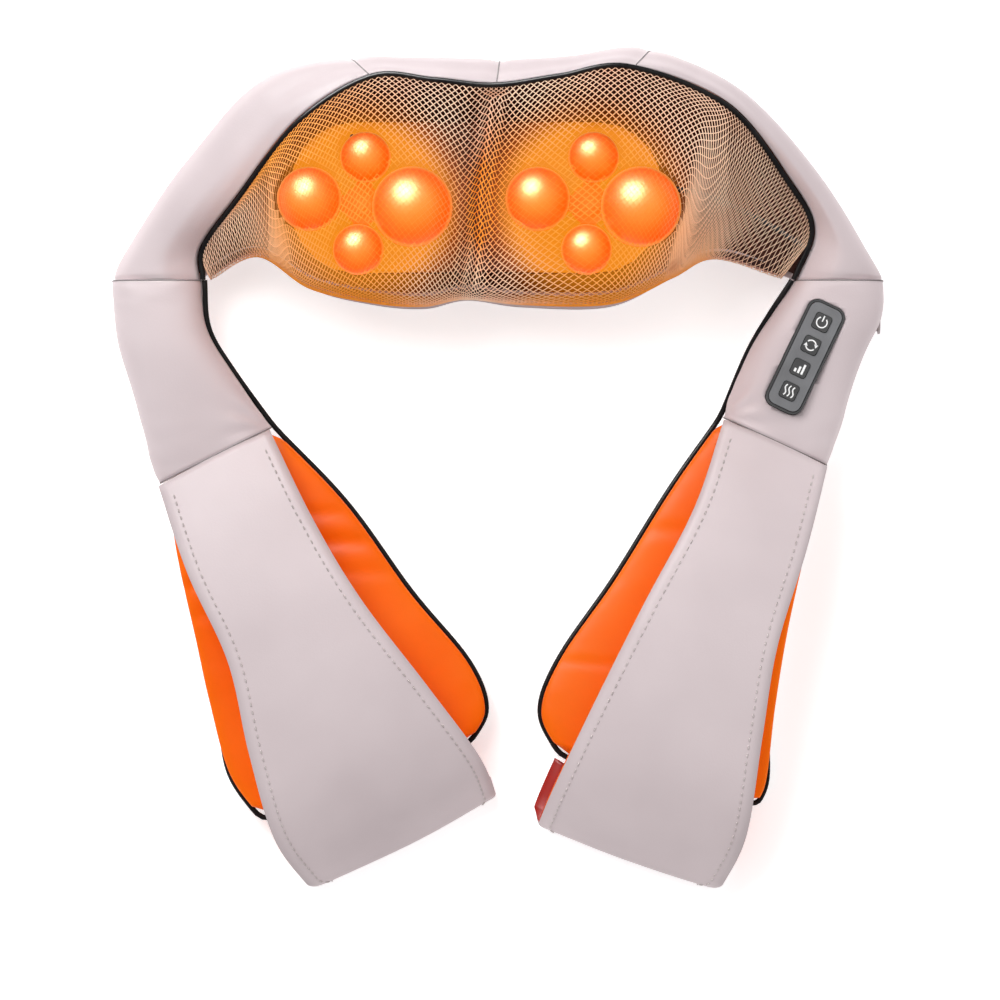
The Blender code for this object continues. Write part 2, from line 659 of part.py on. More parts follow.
def make_heads(side, word):
    """Domed massage heads, each with a blind bore that turns on its post."""
    for name, (px, py), radius in head_spots(side):
        centre = HEAD_BASE_Z + HEAD_NECK * radius
        bore_r, bore_top = POST_R + SHAFT_FIT, HEAD_BASE_Z + radius * 1.12
        profile = [(bore_r, HEAD_BASE_Z), (radius * 0.6, HEAD_BASE_Z)]
        for k in range(7):
            angle = BALL_LOW + (pi / 2 - BALL_LOW) * k / 6
            profile.append((radius * cos(angle) if k < 6 else 0, centre + radius * sin(angle)))
        profile += [(0, bore_top), (bore_r, bore_top)]
        body = turned(f"head_{name}_{word}", profile, "head_plastic", segments=14, ring=True)
        moved(body, (px, py, 0))


def make_heater(side, word):
    """Ring circuit board with lamps that warm the heads through the front cover."""
    x = carrier_axis(side)
    inner, outer = HEATER_R
    top = HEATER_Z + 1.4
    board = [(inner, HEATER_Z), (outer, HEATER_Z), (outer, top), (inner, top)]
    ring = moved(turned(f"heater_board_{word}", board, "circuit_board", segments=20, ring=True),
                 (x, HEAD_Y, 0))
    lamps = []
    for k in range(4):
        angle = pi / 4 + k * pi / 2
        dome = [(0, top - 0.4), (1.6, top - 0.4), (1.6, top + 1.4), (0, top + 2)]
        lamp = turned("heater_lamp", dome, segments=8)
        at = (x + LAMP_RING_R * cos(angle), HEAD_Y + LAMP_RING_R * sin(angle), 0)
        lamps.append(moved(lamp, at))
    boolean(ring, lamps, "UNION")


def make_module():
    make_housings()
    make_drive()
    for side, word in ((-1, "left"), (1, "right")):
        make_heater(side, word)
        make_carrier(side, word)
        make_heads(side, word)


# ---------------------------------------------------------------- arms

def pillow_ring(inner, outer, low, high, squareness=3.2, count=14):
    """A rounded cross-section between two plan points and two heights."""
    middle, half = (inner + outer) / 2, (outer - inner) / 2
    centre, rise = (low + high) / 2, (high - low) / 2
    ring = []
    for k in range(count):
        angle = 2 * pi * (k + 0.5) / count
        c, s = cos(angle), sin(angle)
        across = abs(c) ** (2 / squareness) * (1 if c > 0 else -1)
        up = abs(s) ** (2 / squareness) * (1 if s > 0 else -1)
        plan = middle + half * across
        ring.append(Vector((plan.x, plan.y, centre + rise * up)))
    return ring


def lines_of(arm, stretch):
    outer, inner = ARMS[arm][stretch]
    return (lambda t: smooth(outer, t)), (lambda t: smooth(inner, t))


def make_upper_arm(arm):
    """Padded shoulder section between the collar seam and the hand strap's seam."""
    outer, inner = lines_of(arm, "upper")
    rings = []
    for k in range(8):
        t = k / 7
        top = ARM_TOP_Z + 1.5 * sin(pi * t) - 7 * t ** 3
        rings.append(pillow_ring(inner(t), outer(t), 0, top))
    return lofted(f"upper_arm_{arm}", rings, "taupe_leather")


def make_pad(arm):
    """Grey back and orange palm pad of the arm's lower half."""
    outer, inner = lines_of(arm, "pad")
    layers = (("pad_back", 0, PAD_SPLIT_Z[0], "taupe_leather"),
              ("palm_pad", PAD_SPLIT_Z[1], PAD_TOP_Z, "orange_leather"))
    for name, low, high, look in layers:
        rings = []
        for k in range(12):
            t = 0.006 + 0.994 * k / 11
            squeeze = 0.07 * max(0.0, (t - 0.9) / 0.1)
            a, b = inner(t), outer(t)
            a, b = a.lerp(b, squeeze), b.lerp(a, squeeze)
            thin = 3.0 * t + 6 * max(0.0, (t - 0.92) / 0.08)
            top = high - (thin if name == "palm_pad" else 0)
            rings.append(pillow_ring(a, b, low, top, 3.6))
        lofted(f"{name}_{arm}", rings, look)


def strap_stations(arm, count):
    """(outer point, inner point, normal) along the strap, out over the hand and back under."""
    outer, inner = lines_of(arm, "strap")
    shift, reach = ARMS[arm]["return_shift"], ARMS[arm]["return_reach"]
    length = ((outer(0) + inner(0)) / 2 - (outer(1) + inner(1)) / 2).length
    down = ((outer(1) + inner(1)) / 2 - (outer(0) + inner(0)) / 2).normalized()
    made, half = [], 0.002
    for k in range(count):
        share = k / (count - 1)
        t, z = smooth(STRAP_PROFILE, share)
        before = smooth(STRAP_PROFILE, max(share - half, 0))
        after = smooth(STRAP_PROFILE, min(share + half, 1))
        step = Vector(((after.x - before.x) * length, after.y - before.y)).normalized()
        normal = Vector((*(down * -step.y), step.x))
        a, b = outer(t), inner(t)
        if share > TURN_SHARE:
            b = inner(1 - (1 - t) * reach)
            b = b + (b - a).normalized() * shift * min(1.0, (1 - t) / 0.03)
        made.append((Vector((*a, z)), Vector((*b, z)), normal))
    return made


def ribbon(name, stations, near, far, look):
    """A band between two depths under the strap's outer face, slightly crowned across."""
    rings = []
    for outer, inner, normal in stations:
        inner, outer = inner.lerp(outer, 0.005), outer.lerp(inner, 0.005)
        middle = (outer + inner) / 2 + normal * 2.0
        top = [p - normal * near for p in (outer, middle, inner)]
        base = [p - normal * far for p in (inner, middle, outer)]
        rings.append(top + base)
    lofted(name, rings, look)


def make_strap(arm):
    """Hand strap: a leather band folded back under the pad's end, and its orange lining."""
    stations = strap_stations(arm, STRAP_STATIONS)
    ribbon(f"hand_strap_{arm}", stations, 0, STRAP_THICK, "taupe_leather")
    near = STRAP_THICK + GAP
    ribbon(f"strap_lining_{arm}", stations[:LINED_STATIONS], near, near + LINING_THICK,
           "orange_leather")


def make_arm_piping(arm):
    """Piping down the arm's inner edge, round the pad's end and up its outer edge."""
    upper_out, upper_in = lines_of(arm, "upper")
    pad_out, pad_in = lines_of(arm, "pad")
    proud = PIPING_R + 0.5
    path = []
    for k in range(7):
        t = k / 7
        away = (upper_in(t) - upper_out(t)).normalized() * proud
        path.append(Vector((*(upper_in(t) + away), 34 - 19 * t ** 1.5)))
    for k in range(11):
        t = k / 10
        away = (pad_in(t) - pad_out(t)).normalized() * proud
        path.append(Vector((*(pad_in(t) + away), 15)))
    end_in, end_out = path[-1].xy, pad_out(1)
    end_out = end_out + (pad_out(1) - pad_in(1)).normalized() * proud
    ahead = (pad_in(1) - pad_in(0.9) + pad_out(1) - pad_out(0.9)).normalized()
    for share in (0.06, 0.2, 0.4, 0.6, 0.8, 0.94):
        bow = ahead * (2.5 + 4 * sin(pi * share))
        path.append(Vector((*(end_in.lerp(end_out, share) + bow), 15)))
    for k in range(8):
        t = 1 - 0.95 * k / 7
        away = (pad_out(t) - pad_in(t)).normalized() * proud
        path.append(Vector((*(pad_out(t) + away), 15)))
    path[0].y = SEAM_Y - 1.2
    tube(f"arm_piping_{arm}", path, PIPING_R, "black_piping")


# ---------------------------------------------------------------- controls

def panel_piece(obj):
    return moved(obj, (*PANEL_AT, 0), (0, 0, PANEL_TURN))


def button_centre(index):
    return Vector((0, (index - 1.5) * BUTTON_SPACING))


def channel_along(name, path, radius, sides=8):
    """A cutter round the path that runs a little past both its ends."""
    path = [2 * path[0] - path[1], *path, 2 * path[-1] - path[-2]]
    rings = []
    for k, point in enumerate(path):
        step = (path[min(k + 1, len(path) - 1)] - path[max(k - 1, 0)]).normalized()
        side_axis = step.cross(Vector((0, 0, 1))).normalized()
        up_axis = side_axis.cross(step)
        rings.append([
            point + radius * (side_axis * cos(2 * pi * s / sides) + up_axis * sin(2 * pi * s / sides))
            for s in range(sides)
        ])
    return lofted(name, rings)


def on_panel(point):
    return Matrix.Rotation(PANEL_TURN, 2) @ point + Vector(PANEL_AT)


def make_controls(arm_solid):
    """Control panel with its tray, board and buttons, the power inlet and the lead inside."""
    half_x, half_y = PANEL_SIZE[0] / 2, PANEL_SIZE[1] / 2
    tray_top = PANEL_TOP_Z - 0.5
    outside = rounded_outline(half_x + TRAY_MARGIN, half_y + TRAY_MARGIN, 6, 4)
    tray = panel_piece(plate("panel_housing", outside, TRAY_LOW_Z, tray_top, "button_black"))
    inside = rounded_outline(half_x + GAP, half_y + GAP, 4.8, 4)
    boolean(tray, [panel_piece(plate("tray_cavity", inside, TRAY_LOW_Z + 1.2, tray_top + 5))])

    face = panel_piece(plate("control_panel", rounded_outline(half_x, half_y, 4.6, 4),
                             PANEL_TOP_Z - 2.2, PANEL_TOP_Z, "panel_grey"))
    board = panel_piece(plate("control_board", rounded_outline(7, 29, 1, 1),
                              TRAY_LOW_Z + 2, TRAY_LOW_Z + 3.6, "circuit_board"))
    holes, switches = [], []
    for index, word in enumerate(BUTTONS):
        centre = button_centre(index)
        cap = plate(f"button_{word}", rounded_outline(BUTTON_SIDE / 2, BUTTON_SIDE / 2, 1.6, 3),
                    TRAY_LOW_Z + 7.2, PANEL_TOP_Z + BUTTON_PROUD, "button_black")
        moved(cap, (*on_panel(centre), 0), (0, 0, PANEL_TURN))
        side = BUTTON_SIDE / 2 + 0.3
        hole = plate("button_hole", rounded_outline(side, side, 1.8, 3), 40, 55)
        holes.append(moved(hole, (*on_panel(centre), 0), (0, 0, PANEL_TURN)))
        switch = plate("switch", rounded_outline(2.5, 2.5, 0.4, 1), TRAY_LOW_Z + 3, TRAY_LOW_Z + 5.9)
        switches.append(moved(switch, (*on_panel(centre), 0), (0, 0, PANEL_TURN)))
    boolean(face, holes)
    boolean(board, switches, "UNION")

    pocket = panel_piece(plate("panel_pocket", rounded_outline(half_x + 2, half_y + 2, 6.4, 4),
                               TRAY_LOW_Z - GAP, 70))
    along_x = (0, pi / 2, 0)
    barrel = [(3.1, -11), (3.1, 0.6), (7, 0.6), (7, -0.6), (5.4, -0.6), (5.4, -12.5), (0, -12.5),
              (0, -11)]
    socket = moved(turned("dc_inlet", barrel[::-1], "button_black", segments=16, ring=True),
                   INLET_AT, along_x)
    pin = moved(turned("dc_pin", [(0, -12), (1, -12), (1, -1), (0, -1)], segments=8),
                INLET_AT, along_x)
    boolean(socket, [pin], "UNION")
    inlet_hole = [(0, -14), (5.8, -14), (5.8, -3), (7.4, -3), (7.4, 6), (0, 6)]
    inlet_cut = moved(turned("inlet_cut", inlet_hole, segments=16), INLET_AT, along_x)

    lead_from = on_panel(Vector((0, half_y + 3.6)))
    lead = [(*lead_from, 40), (190, 100, 34), (190, SEAM_Y - GAP, 30)]
    path = [smooth(lead, k / 6) for k in range(7)]
    tube("arm_lead", path, LEAD_R, "button_black")
    lead_cut = channel_along("lead_channel", path, LEAD_R + 0.9)
    boolean(arm_solid, [pocket, inlet_cut, lead_cut])

    collar_lead = [(190, SEAM_Y + GAP, 30), (180, 122, 24), (150, 142, 20), (118, 156, 24),
                   (96.5, 160, 30)]
    tube("collar_lead", [smooth(collar_lead, k / 12) for k in range(13)], LEAD_R, "button_black")


def build():
    for obj in list(bpy.data.objects):
        bpy.data.objects.remove(obj)
    make_collar()
    make_module()
    solids = {arm: make_upper_arm(arm) for arm in ARMS}
    for arm in ARMS:
        make_pad(arm)
        make_strap(arm)
        make_arm_piping(arm)
    make_controls(solids["right"])


build()
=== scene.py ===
"""Looks of the shiatsu neck massager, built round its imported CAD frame.

Outlines are in millimetres and are turned into metres by mesh_piece and tube. Positions of
hard pieces come from the frame. Soft pieces are lofted from a few sections by smooth curves.
"""

from math import atan2, cos, exp, pi, radians, sin

import bmesh
import bpy
from mathutils import Matrix, Vector, noise


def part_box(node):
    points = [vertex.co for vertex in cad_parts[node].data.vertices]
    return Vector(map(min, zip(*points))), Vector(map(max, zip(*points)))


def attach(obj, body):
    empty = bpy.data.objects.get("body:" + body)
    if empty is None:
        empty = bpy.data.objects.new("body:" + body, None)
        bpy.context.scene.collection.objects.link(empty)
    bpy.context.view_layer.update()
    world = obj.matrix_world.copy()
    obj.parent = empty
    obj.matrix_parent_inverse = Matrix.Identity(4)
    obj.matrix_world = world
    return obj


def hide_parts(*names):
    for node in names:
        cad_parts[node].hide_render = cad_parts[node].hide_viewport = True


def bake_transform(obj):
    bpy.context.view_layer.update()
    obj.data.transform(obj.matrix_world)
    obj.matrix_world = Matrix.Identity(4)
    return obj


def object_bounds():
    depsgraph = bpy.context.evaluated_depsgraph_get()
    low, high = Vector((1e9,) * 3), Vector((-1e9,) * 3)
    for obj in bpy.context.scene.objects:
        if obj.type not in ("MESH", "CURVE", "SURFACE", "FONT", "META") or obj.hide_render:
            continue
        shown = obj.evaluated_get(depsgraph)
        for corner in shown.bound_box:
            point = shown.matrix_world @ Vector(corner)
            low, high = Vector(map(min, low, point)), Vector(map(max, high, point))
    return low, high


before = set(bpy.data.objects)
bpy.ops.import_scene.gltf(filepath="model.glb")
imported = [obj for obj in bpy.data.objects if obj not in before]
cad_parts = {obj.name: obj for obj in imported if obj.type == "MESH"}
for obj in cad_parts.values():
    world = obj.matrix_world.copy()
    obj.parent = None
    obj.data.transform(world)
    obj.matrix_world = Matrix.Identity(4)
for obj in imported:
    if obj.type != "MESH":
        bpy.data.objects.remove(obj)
CAD_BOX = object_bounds()

MM = 0.001
SIDES = ("left", "right")

# Collar
SEAM_Y = 107.0
ARM_TOP_Z = 46.0
ARM_RIM_Z = 34.0          # the piping's height where the collar meets an arm
SHOULDER_RISE = 50.0      # with the piping this much higher, the collar is fully raised
RIDGE_Z = 76.0            # top of the leather where the collar is fully raised
HEM_Z = 12.0              # lower edge of the leather and of the net's cloth, under the lobes
PIPING_R = 1.55
PIPING_CLEAR = 2.1        # from the piping's middle to the leather and the net
LEATHER_THICK = 3.0
PANEL_SEAMS_X = (-82.0, 1.0, 84.0)

# Net
NET_PITCH = 4.0           # one diamond, corner to corner
NET_STRAND = 0.45         # half the width of a strand
NET_STRAND_ENDS = 0.30    # the same where the net is drawn together at its ends
NET_STRAND_HEADS = 0.11   # and where it is stretched over the heads
GATHERED_X = 128.0        # beyond this the strands are those of the ends
NET_LIFT = 1.2            # the net stands this far off the CAD cover
NET_SPAN = (0.055, 0.945)  # the net's two ends, as shares of the way round the collar
NET_END = 0.86            # share of each section that is net; the rest is plain cloth
VALLEY_X = -2.0           # middle of the valley between the two lobes, at the piping
VALLEY_SLANT = 16.0       # the valley runs this far aside on its way down to the hem

# Arms and straps
PAD_SEAM_Z = 15.0         # height of the piped seam between the palm pad and its back
# Folds across each palm pad: share of its length and depth in millimetres
PAD_FOLDS = {
    "left": ((0.17, 1.6), (0.235, 2.6), (0.30, 1.2)),
    "right": ((0.24, 1.0), (0.56, 0.8)),
}
STRAP_THICK = 1.8
LINING_THICK = 1.1
OUTER_CORNER = 6.0
INNER_CORNER = 2.5
TURN_SHARE = 0.74         # from here on the strap runs back under itself
STITCH_INSET = 7.0
STITCH_PITCH = 4.6
STITCH_LENGTH = 2.7
STITCHED = slice(3, 136)  # the strap's stations that carry stitches
LINED = slice(6, None)    # and those that the lining lies under
LINING_GAP = 0.15

# Control panel
ICON_SCALE = 1.2
ICON_LINE = 0.6
TRAY_HALF = (11.2, 33.0)  # half the control panel's tray
POCKET_GAP = 0.25
POCKET_CORNER = 6.2
POCKET_Z = (34.6, 70)     # from the pocket's floor to well above the arm

# Collar sections from the left arm round to the right arm:
# outer silhouette (x, y), piping (x, y, z), lower silhouette (x, y), top of the net z
COLLAR = (
    ((-219.5, 107.4), (-167.5, 107.4, 34), (-163.0, 107.4), 34),
    ((-211.8, 124.0), (-166.8, 126.0, 38), (-161.0, 108.5), 40),
    ((-177.5, 174.0), (-145.5, 152.5, 63), (-135.0, 119.0), 90),
    ((-132.5, 221.0), (-111.5, 194.0, 85), (-106.0, 101.0), 104),
    ((-84.0, 232.5), (-71.0, 219.0, 86), (-71.0, 93.0), 104),
    ((-40.0, 233.0), (-36.0, 217.0, 88), (-42.0, 91.0), 104),
    ((0.0, 232.0), (-2.0, 214.0, 88), (-18.0, 95.5), 89),
    ((40.0, 233.5), (34.0, 219.0, 88), (14.0, 92.0), 104),
    ((84.0, 237.5), (73.0, 224.5, 86), (64.0, 92.5), 104),
    ((136.0, 216.0), (128.0, 203.5, 74), (98.0, 107.0), 101),
    ((180.0, 171.0), (164.0, 161.5, 50), (122.0, 118.5), 64),
    ((211.2, 122.0), (177.5, 136.5, 38), (157.0, 109.0), 41),
    ((219.5, 107.4), (167.5, 107.4, 34), (163.0, 107.4), 34),
)

# Plan edges of each arm from the collar down: outer edge and inner edge. Where a strap runs back
# under itself, its inner edge lies return_shift further in and reaches return_reach times as far.
ARMS = {
    "left": {
        "upper": (
            ((-219.5, 107.0), (-217.0, 77.0), (-209.5, 48.0), (-193.8, -8.6)),
            ((-167.5, 107.0), (-165.3, 80.0), (-151.6, 56.0), (-128.8, 23.9)),
        ),
        "pad": (
            ((-188.0, -8.6), (-183.0, -48.0), (-172.2, -97.0), (-164.5, -132.0),
             (-153.0, -173.0), (-134.5, -199.5)),
            ((-128.8, 23.9), (-87.0, -19.5), (-50.5, -70.0), (-18.0, -109.0),
             (-7.5, -136.0), (-16.0, -155.0)),
        ),
        "strap": (
            ((-193.0, -9.7), (-175.5, -59.0), (-152.5, -108.3), (-140.8, -160.0),
             (-127.0, -209.8), (-107.5, -240.0)),
            ((-129.5, 22.8), (-103.0, -30.0), (-76.0, -74.1), (-39.5, -122.0),
             (-10.3, -162.5), (-0.6, -186.4)),
        ),
        "return_shift": 0.0,
        "return_reach": 1.0,
    },
    "right": {
        "upper": (
            ((219.5, 107.0), (218.0, 86.0), (206.8, 62.0), (187.5, 2.0)),
            ((167.5, 107.0), (155.0, 88.0), (142.5, 66.0), (127.7, 29.6)),
        ),
        "pad": (
            ((184.5, 2.0), (175.3, -44.0), (165.0, -91.2), (157.8, -135.0),
             (152.8, -176.0), (147.2, -190.5)),
            ((127.7, 29.6), (99.0, -11.0), (66.7, -62.7), (36.0, -107.0),
             (24.5, -138.0), (35.3, -162.5)),
        ),
        "strap": (
            ((187.0, 1.3), (174.5, -45.0), (157.4, -99.8), (149.0, -152.0),
             (140.8, -208.0), (127.0, -240.5)),
            ((127.7, 28.5), (110.0, -22.0), (80.9, -77.0), (53.0, -133.0),
             (31.4, -179.6), (22.2, -203.0)),
        ),
        "return_shift": 5.0,
        "return_reach": 2.6,
    },
}
# Side shape of a hand strap: share of its length, height of its outer face
STRAP_PROFILE = (
    (0.006, 38.5), (0.14, 52.0), (0.32, 63.0), (0.50, 64.5), (0.68, 56.0),
    (0.84, 38.0), (0.94, 22.5), (0.993, 15.0), (1.0, 9.0), (0.982, 3.6),
    (0.95, 2.5), (0.90, 2.5),
)


# ---------------- curves and meshes

def smooth(points, share):
    """The point at a share of the way along a Catmull-Rom curve through the points."""
    spans = len(points) - 1
    at = min(max(share, 0.0), 1.0) * spans
    i = min(int(at), spans - 1)
    t = at - i
    p1, p2 = Vector(points[i]), Vector(points[i + 1])
    p0 = Vector(points[i - 1]) if i else 2 * p1 - p2
    p3 = Vector(points[i + 2]) if i + 2 < len(points) else 2 * p2 - p1
    return 0.5 * (
        2 * p1 + (p2 - p0) * t + (2 * p0 - 5 * p1 + 4 * p2 - p3) * t * t
        + (3 * p1 - p0 - 3 * p2 + p3) * t ** 3
    )


def bump(distance, width):
    """1 at no distance, falling smoothly to 0 over a few widths."""
    return exp(-(distance / width) ** 2)


def eased(value):
    """0 to 1 with a smooth start and end, and held at those beyond them."""
    value = min(max(value, 0.0), 1.0)
    return value * value * (3 - 2 * value)


def wavy(point, scale, seed=0.0):
    """Smooth noise from -1 to 1 with features about scale millimetres across."""
    return noise.noise(Vector((point[0], point[1], point[2])) / scale + Vector((seed, seed, 0)))


def middle_of(node):
    """Middle of a CAD node's box, in metres."""
    low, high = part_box(node)
    return (Vector(low) + Vector(high)) / 2


def mesh_piece(name, points, faces, look, back_look=None, is_back=None):
    """A smooth mesh; faces that is_back names by index get the second look."""
    mesh = bpy.data.meshes.new(name)
    mesh.from_pydata([Vector(p) * MM for p in points], [], faces)
    if back_look:
        for face in mesh.polygons:
            face.material_index = int(is_back(face.index))
    bm = bmesh.new()
    bm.from_mesh(mesh)
    bmesh.ops.remove_doubles(bm, verts=bm.verts, dist=1e-6)
    bmesh.ops.recalc_face_normals(bm, faces=bm.faces)
    bm.to_mesh(mesh)
    bm.free()
    mesh.shade_smooth()
    mesh.materials.append(look)
    if back_look:
        mesh.materials.append(back_look)
    piece = bpy.data.objects.new(name, mesh)
    bpy.context.scene.collection.objects.link(piece)
    return piece


def strip_faces(rows, columns, wrap=False):
    """Quads over a grid of points; wrapped, the last column joins the first."""
    faces = []
    for r in range(rows - 1):
        for c in range(columns if wrap else columns - 1):
            d = (c + 1) % columns
            faces.append((r * columns + c, r * columns + d,
                          (r + 1) * columns + d, (r + 1) * columns + c))
    return faces


def sheet_piece(name, rows, thickness, look, back_look=None):
    """A thick sheet: the grid of rows is its outer face, and the wall grows inwards."""
    columns = len(rows[0])
    backs = []
    for i, row in enumerate(rows):
        back = []
        for j, point in enumerate(row):
            along = rows[min(i + 1, len(rows) - 1)][j] - rows[max(i - 1, 0)][j]
            across = row[min(j + 1, columns - 1)] - row[max(j - 1, 0)]
            back.append(point - along.cross(across).normalized() * thickness)
        backs.append(back)
    loops = [front + back[::-1] for front, back in zip(rows, backs)]
    n = len(loops[0])
    faces = strip_faces(len(loops), n, wrap=True)
    last = (len(loops) - 1) * n
    for start in (0, last):
        faces += [(start + c, start + c + 1, start + n - 2 - c, start + n - 1 - c)
                  for c in range(columns - 1)]
    return mesh_piece(name, [p for loop in loops for p in loop], faces, look, back_look,
                      lambda index: columns <= index % n < n - 1)


def closed_loft(name, rings, look):
    """A closed solid through rings; its ends are drawn in to a middle point."""
    n = len(rings[0])
    points = [p for ring in rings for p in ring]
    faces = strip_faces(len(rings), n, wrap=True)
    for start, ring in ((0, rings[0]), ((len(rings) - 1) * n, rings[-1])):
        hub = len(points)
        points.append(sum(ring, Vector()) / n)
        faces += [(start + c, start + (c + 1) % n, hub) for c in range(n)]
    return mesh_piece(name, points, faces, look)


def turned(name, profile, at, look, segments=56):
    """A solid of revolution about a vertical axis, closed at both ends of its profile."""
    turns = [2 * pi * k / segments for k in range(segments)]
    rings = [[Vector((at[0] + r * cos(turn), at[1] + r * sin(turn), z)) for turn in turns]
             for r, z in profile]
    return closed_loft(name, rings, look)


def tube(name, path, radius, look, sides=3):
    """A round cord along a path, as a mesh."""
    curve = bpy.data.curves.new(name, "CURVE")
    curve.dimensions = "3D"
    curve.bevel_depth = radius * MM
    curve.bevel_resolution = sides
    curve.use_fill_caps = True
    line = curve.splines.new("POLY")
    line.points.add(len(path) - 1)
    for point, at in zip(line.points, path):
        point.co = (*(Vector(at) * MM), 1)
    line.use_smooth = True
    curve.materials.append(look)
    made = bpy.data.objects.new(name, curve)
    bpy.context.scene.collection.objects.link(made)
    return as_mesh(made)


def as_mesh(obj):
    """The object with its curve or modifiers turned into a plain mesh."""
    graph = bpy.context.evaluated_depsgraph_get()
    graph.update()
    mesh = bpy.data.meshes.new_from_object(obj.evaluated_get(graph))
    name = obj.name
    bpy.data.objects.remove(obj)
    made = bpy.data.objects.new(name, mesh)
    bpy.context.scene.collection.objects.link(made)
    mesh.shade_smooth()
    return made


def evenly(path, step):
    """Points along the path a step apart, each with its direction."""
    made, left = [], step / 2
    for a, b in zip(path, path[1:]):
        gap = (b - a).length
        while gap > 0 and left <= gap:
            made.append((a.lerp(b, left / gap), (b - a).normalized()))
            left += step
        left -= gap
    return made


def along_line(line, distance):
    """The point a distance along the line, or its end if the line is shorter."""
    for a, b in zip(line, line[1:]):
        gap = (b - a).length
        if distance <= gap:
            return a.lerp(b, distance / max(gap, 1e-9))
        distance -= gap
    return line[-1].copy()


def length_of(line):
    """Length of a line of points."""
    return sum((b - a).length for a, b in zip(line, line[1:]))


def stitches(name, runs, look):
    """Small raised thread stitches along runs of (path, outward directions)."""
    sides, thread = 6, 0.46
    outline = ((-0.5, 0.25), (-0.34, 1.0), (0.34, 1.0), (0.5, 0.25))   # share along, share thick
    points, faces = [], []
    for path, normals in runs:
        spots = evenly(path, STITCH_PITCH)
        for k, (at, along) in enumerate(spots):
            up = normals[min(int(k / len(spots) * len(normals)), len(normals) - 1)]
            side = along.cross(up).normalized()
            up = side.cross(along).normalized()
            base = len(points)
            for share, size in outline:
                sink = up * (0.28 - 0.5 * (1 - size))
                for c in range(sides):
                    a = 2 * pi * c / sides
                    points.append(at + along * share * STITCH_LENGTH + sink
                                  + (side * cos(a) + up * sin(a)) * thread * size)
            rings = strip_faces(len(outline), sides, wrap=True)
            ends = [range(sides), range(3 * sides, 4 * sides)]
            faces += [tuple(base + i for i in face) for face in [*rings, *ends]]
    return mesh_piece(name, points, faces, look)


# ---------------- materials

class Nodes:
    """Short ways to add nodes to one material."""

    def __init__(self, name):
        self.material = bpy.data.materials.new(name)
        self.material.use_nodes = True
        self.tree = self.material.node_tree
        self.shader = self.tree.nodes["Principled BSDF"]
        self.where = self.tree.nodes.new("ShaderNodeTexCoord").outputs["Object"]

    def set(self, **values):
        for key, value in values.items():
            self.shader.inputs[key.replace("_", " ")].default_value = value
        return self

    def link(self, a, b):
        self.tree.links.new(a, b)

    def drive(self, socket, value):
        self.link(value, self.shader.inputs[socket])

    def noise(self, scale, detail, stretch=None):
        node = self.tree.nodes.new("ShaderNodeTexNoise")
        node.inputs["Scale"].default_value = scale
        node.inputs["Detail"].default_value = detail
        source = self.where
        if stretch:
            mapping = self.tree.nodes.new("ShaderNodeMapping")
            mapping.inputs["Scale"].default_value = stretch
            self.link(self.where, mapping.inputs["Vector"])
            source = mapping.outputs["Vector"]
        self.link(source, node.inputs["Vector"])
        return node.outputs["Fac"]

    def cells(self, scale):
        node = self.tree.nodes.new("ShaderNodeTexVoronoi")
        node.inputs["Scale"].default_value = scale
        self.link(self.where, node.inputs["Vector"])
        return node.outputs["Distance"]

    def ramp(self, value, stops):
        node = self.tree.nodes.new("ShaderNodeValToRGB")
        ramp = node.color_ramp
        while len(ramp.elements) < len(stops):
            ramp.elements.new(0.5)
        for element, (at, colour) in zip(ramp.elements, stops):
            element.position = at
            element.color = (*colour, 1)
        self.link(value, node.inputs["Fac"])
        return node.outputs["Color"]

    def range(self, value, low, high, source=(0.0, 1.0), easing="LINEAR"):
        """The value mapped from its source range to the range from low to high."""
        node = self.tree.nodes.new("ShaderNodeMapRange")
        node.interpolation_type = easing
        ends = {"From Min": source[0], "From Max": source[1], "To Min": low, "To Max": high}
        for socket, end in ends.items():
            node.inputs[socket].default_value = end
        self.link(value, node.inputs["Value"])
        return node.outputs["Result"]

    def upward(self, vector):
        split = self.tree.nodes.new("ShaderNodeSeparateXYZ")
        self.link(vector, split.inputs["Vector"])
        return split.outputs["Z"]

    def bumps(self, *layers):
        """Chained bump nodes from (height, strength, distance in metres)."""
        normal = None
        for height, strength, distance in layers:
            node = self.tree.nodes.new("ShaderNodeBump")
            node.inputs["Strength"].default_value = strength
            node.inputs["Distance"].default_value = distance
            self.link(height, node.inputs["Height"])
            if normal:
                self.link(normal, node.inputs["Normal"])
            normal = node.outputs["Normal"]
        self.drive("Normal", normal)
        return self


def near_heads(m, far, close):
    """1 close to either group of heads, falling to 0 at the far distance, in metres."""
    near = []
    for side in SIDES:
        offset = m.tree.nodes.new("ShaderNodeVectorMath")
        offset.operation = "DISTANCE"
        offset.inputs[1].default_value = middle_of(f"heater_board_{side}")
        m.link(m.where, offset.inputs[0])
        near.append(m.range(offset.outputs["Value"], 0.0, 1.0, (far, close), "SMOOTHERSTEP"))
    both = m.tree.nodes.new("ShaderNodeMath")
    both.operation = "ADD"
    for value, socket in zip(near, both.inputs):
        m.link(value, socket)
    return both.outputs["Value"]


def surface(name, dark, light, drift, patches, rough, pale_from=0.7):
    """A colour that drifts from dark to light, and patches of higher and lower roughness.

    drift and patches are the scale and detail of a noise, and rough is a range.
    """
    m = Nodes(name)
    m.drive("Base Color", m.ramp(m.noise(*drift), ((0.3, dark), (pale_from, light))))
    m.drive("Roughness", m.range(m.noise(*patches), *rough))
    return m


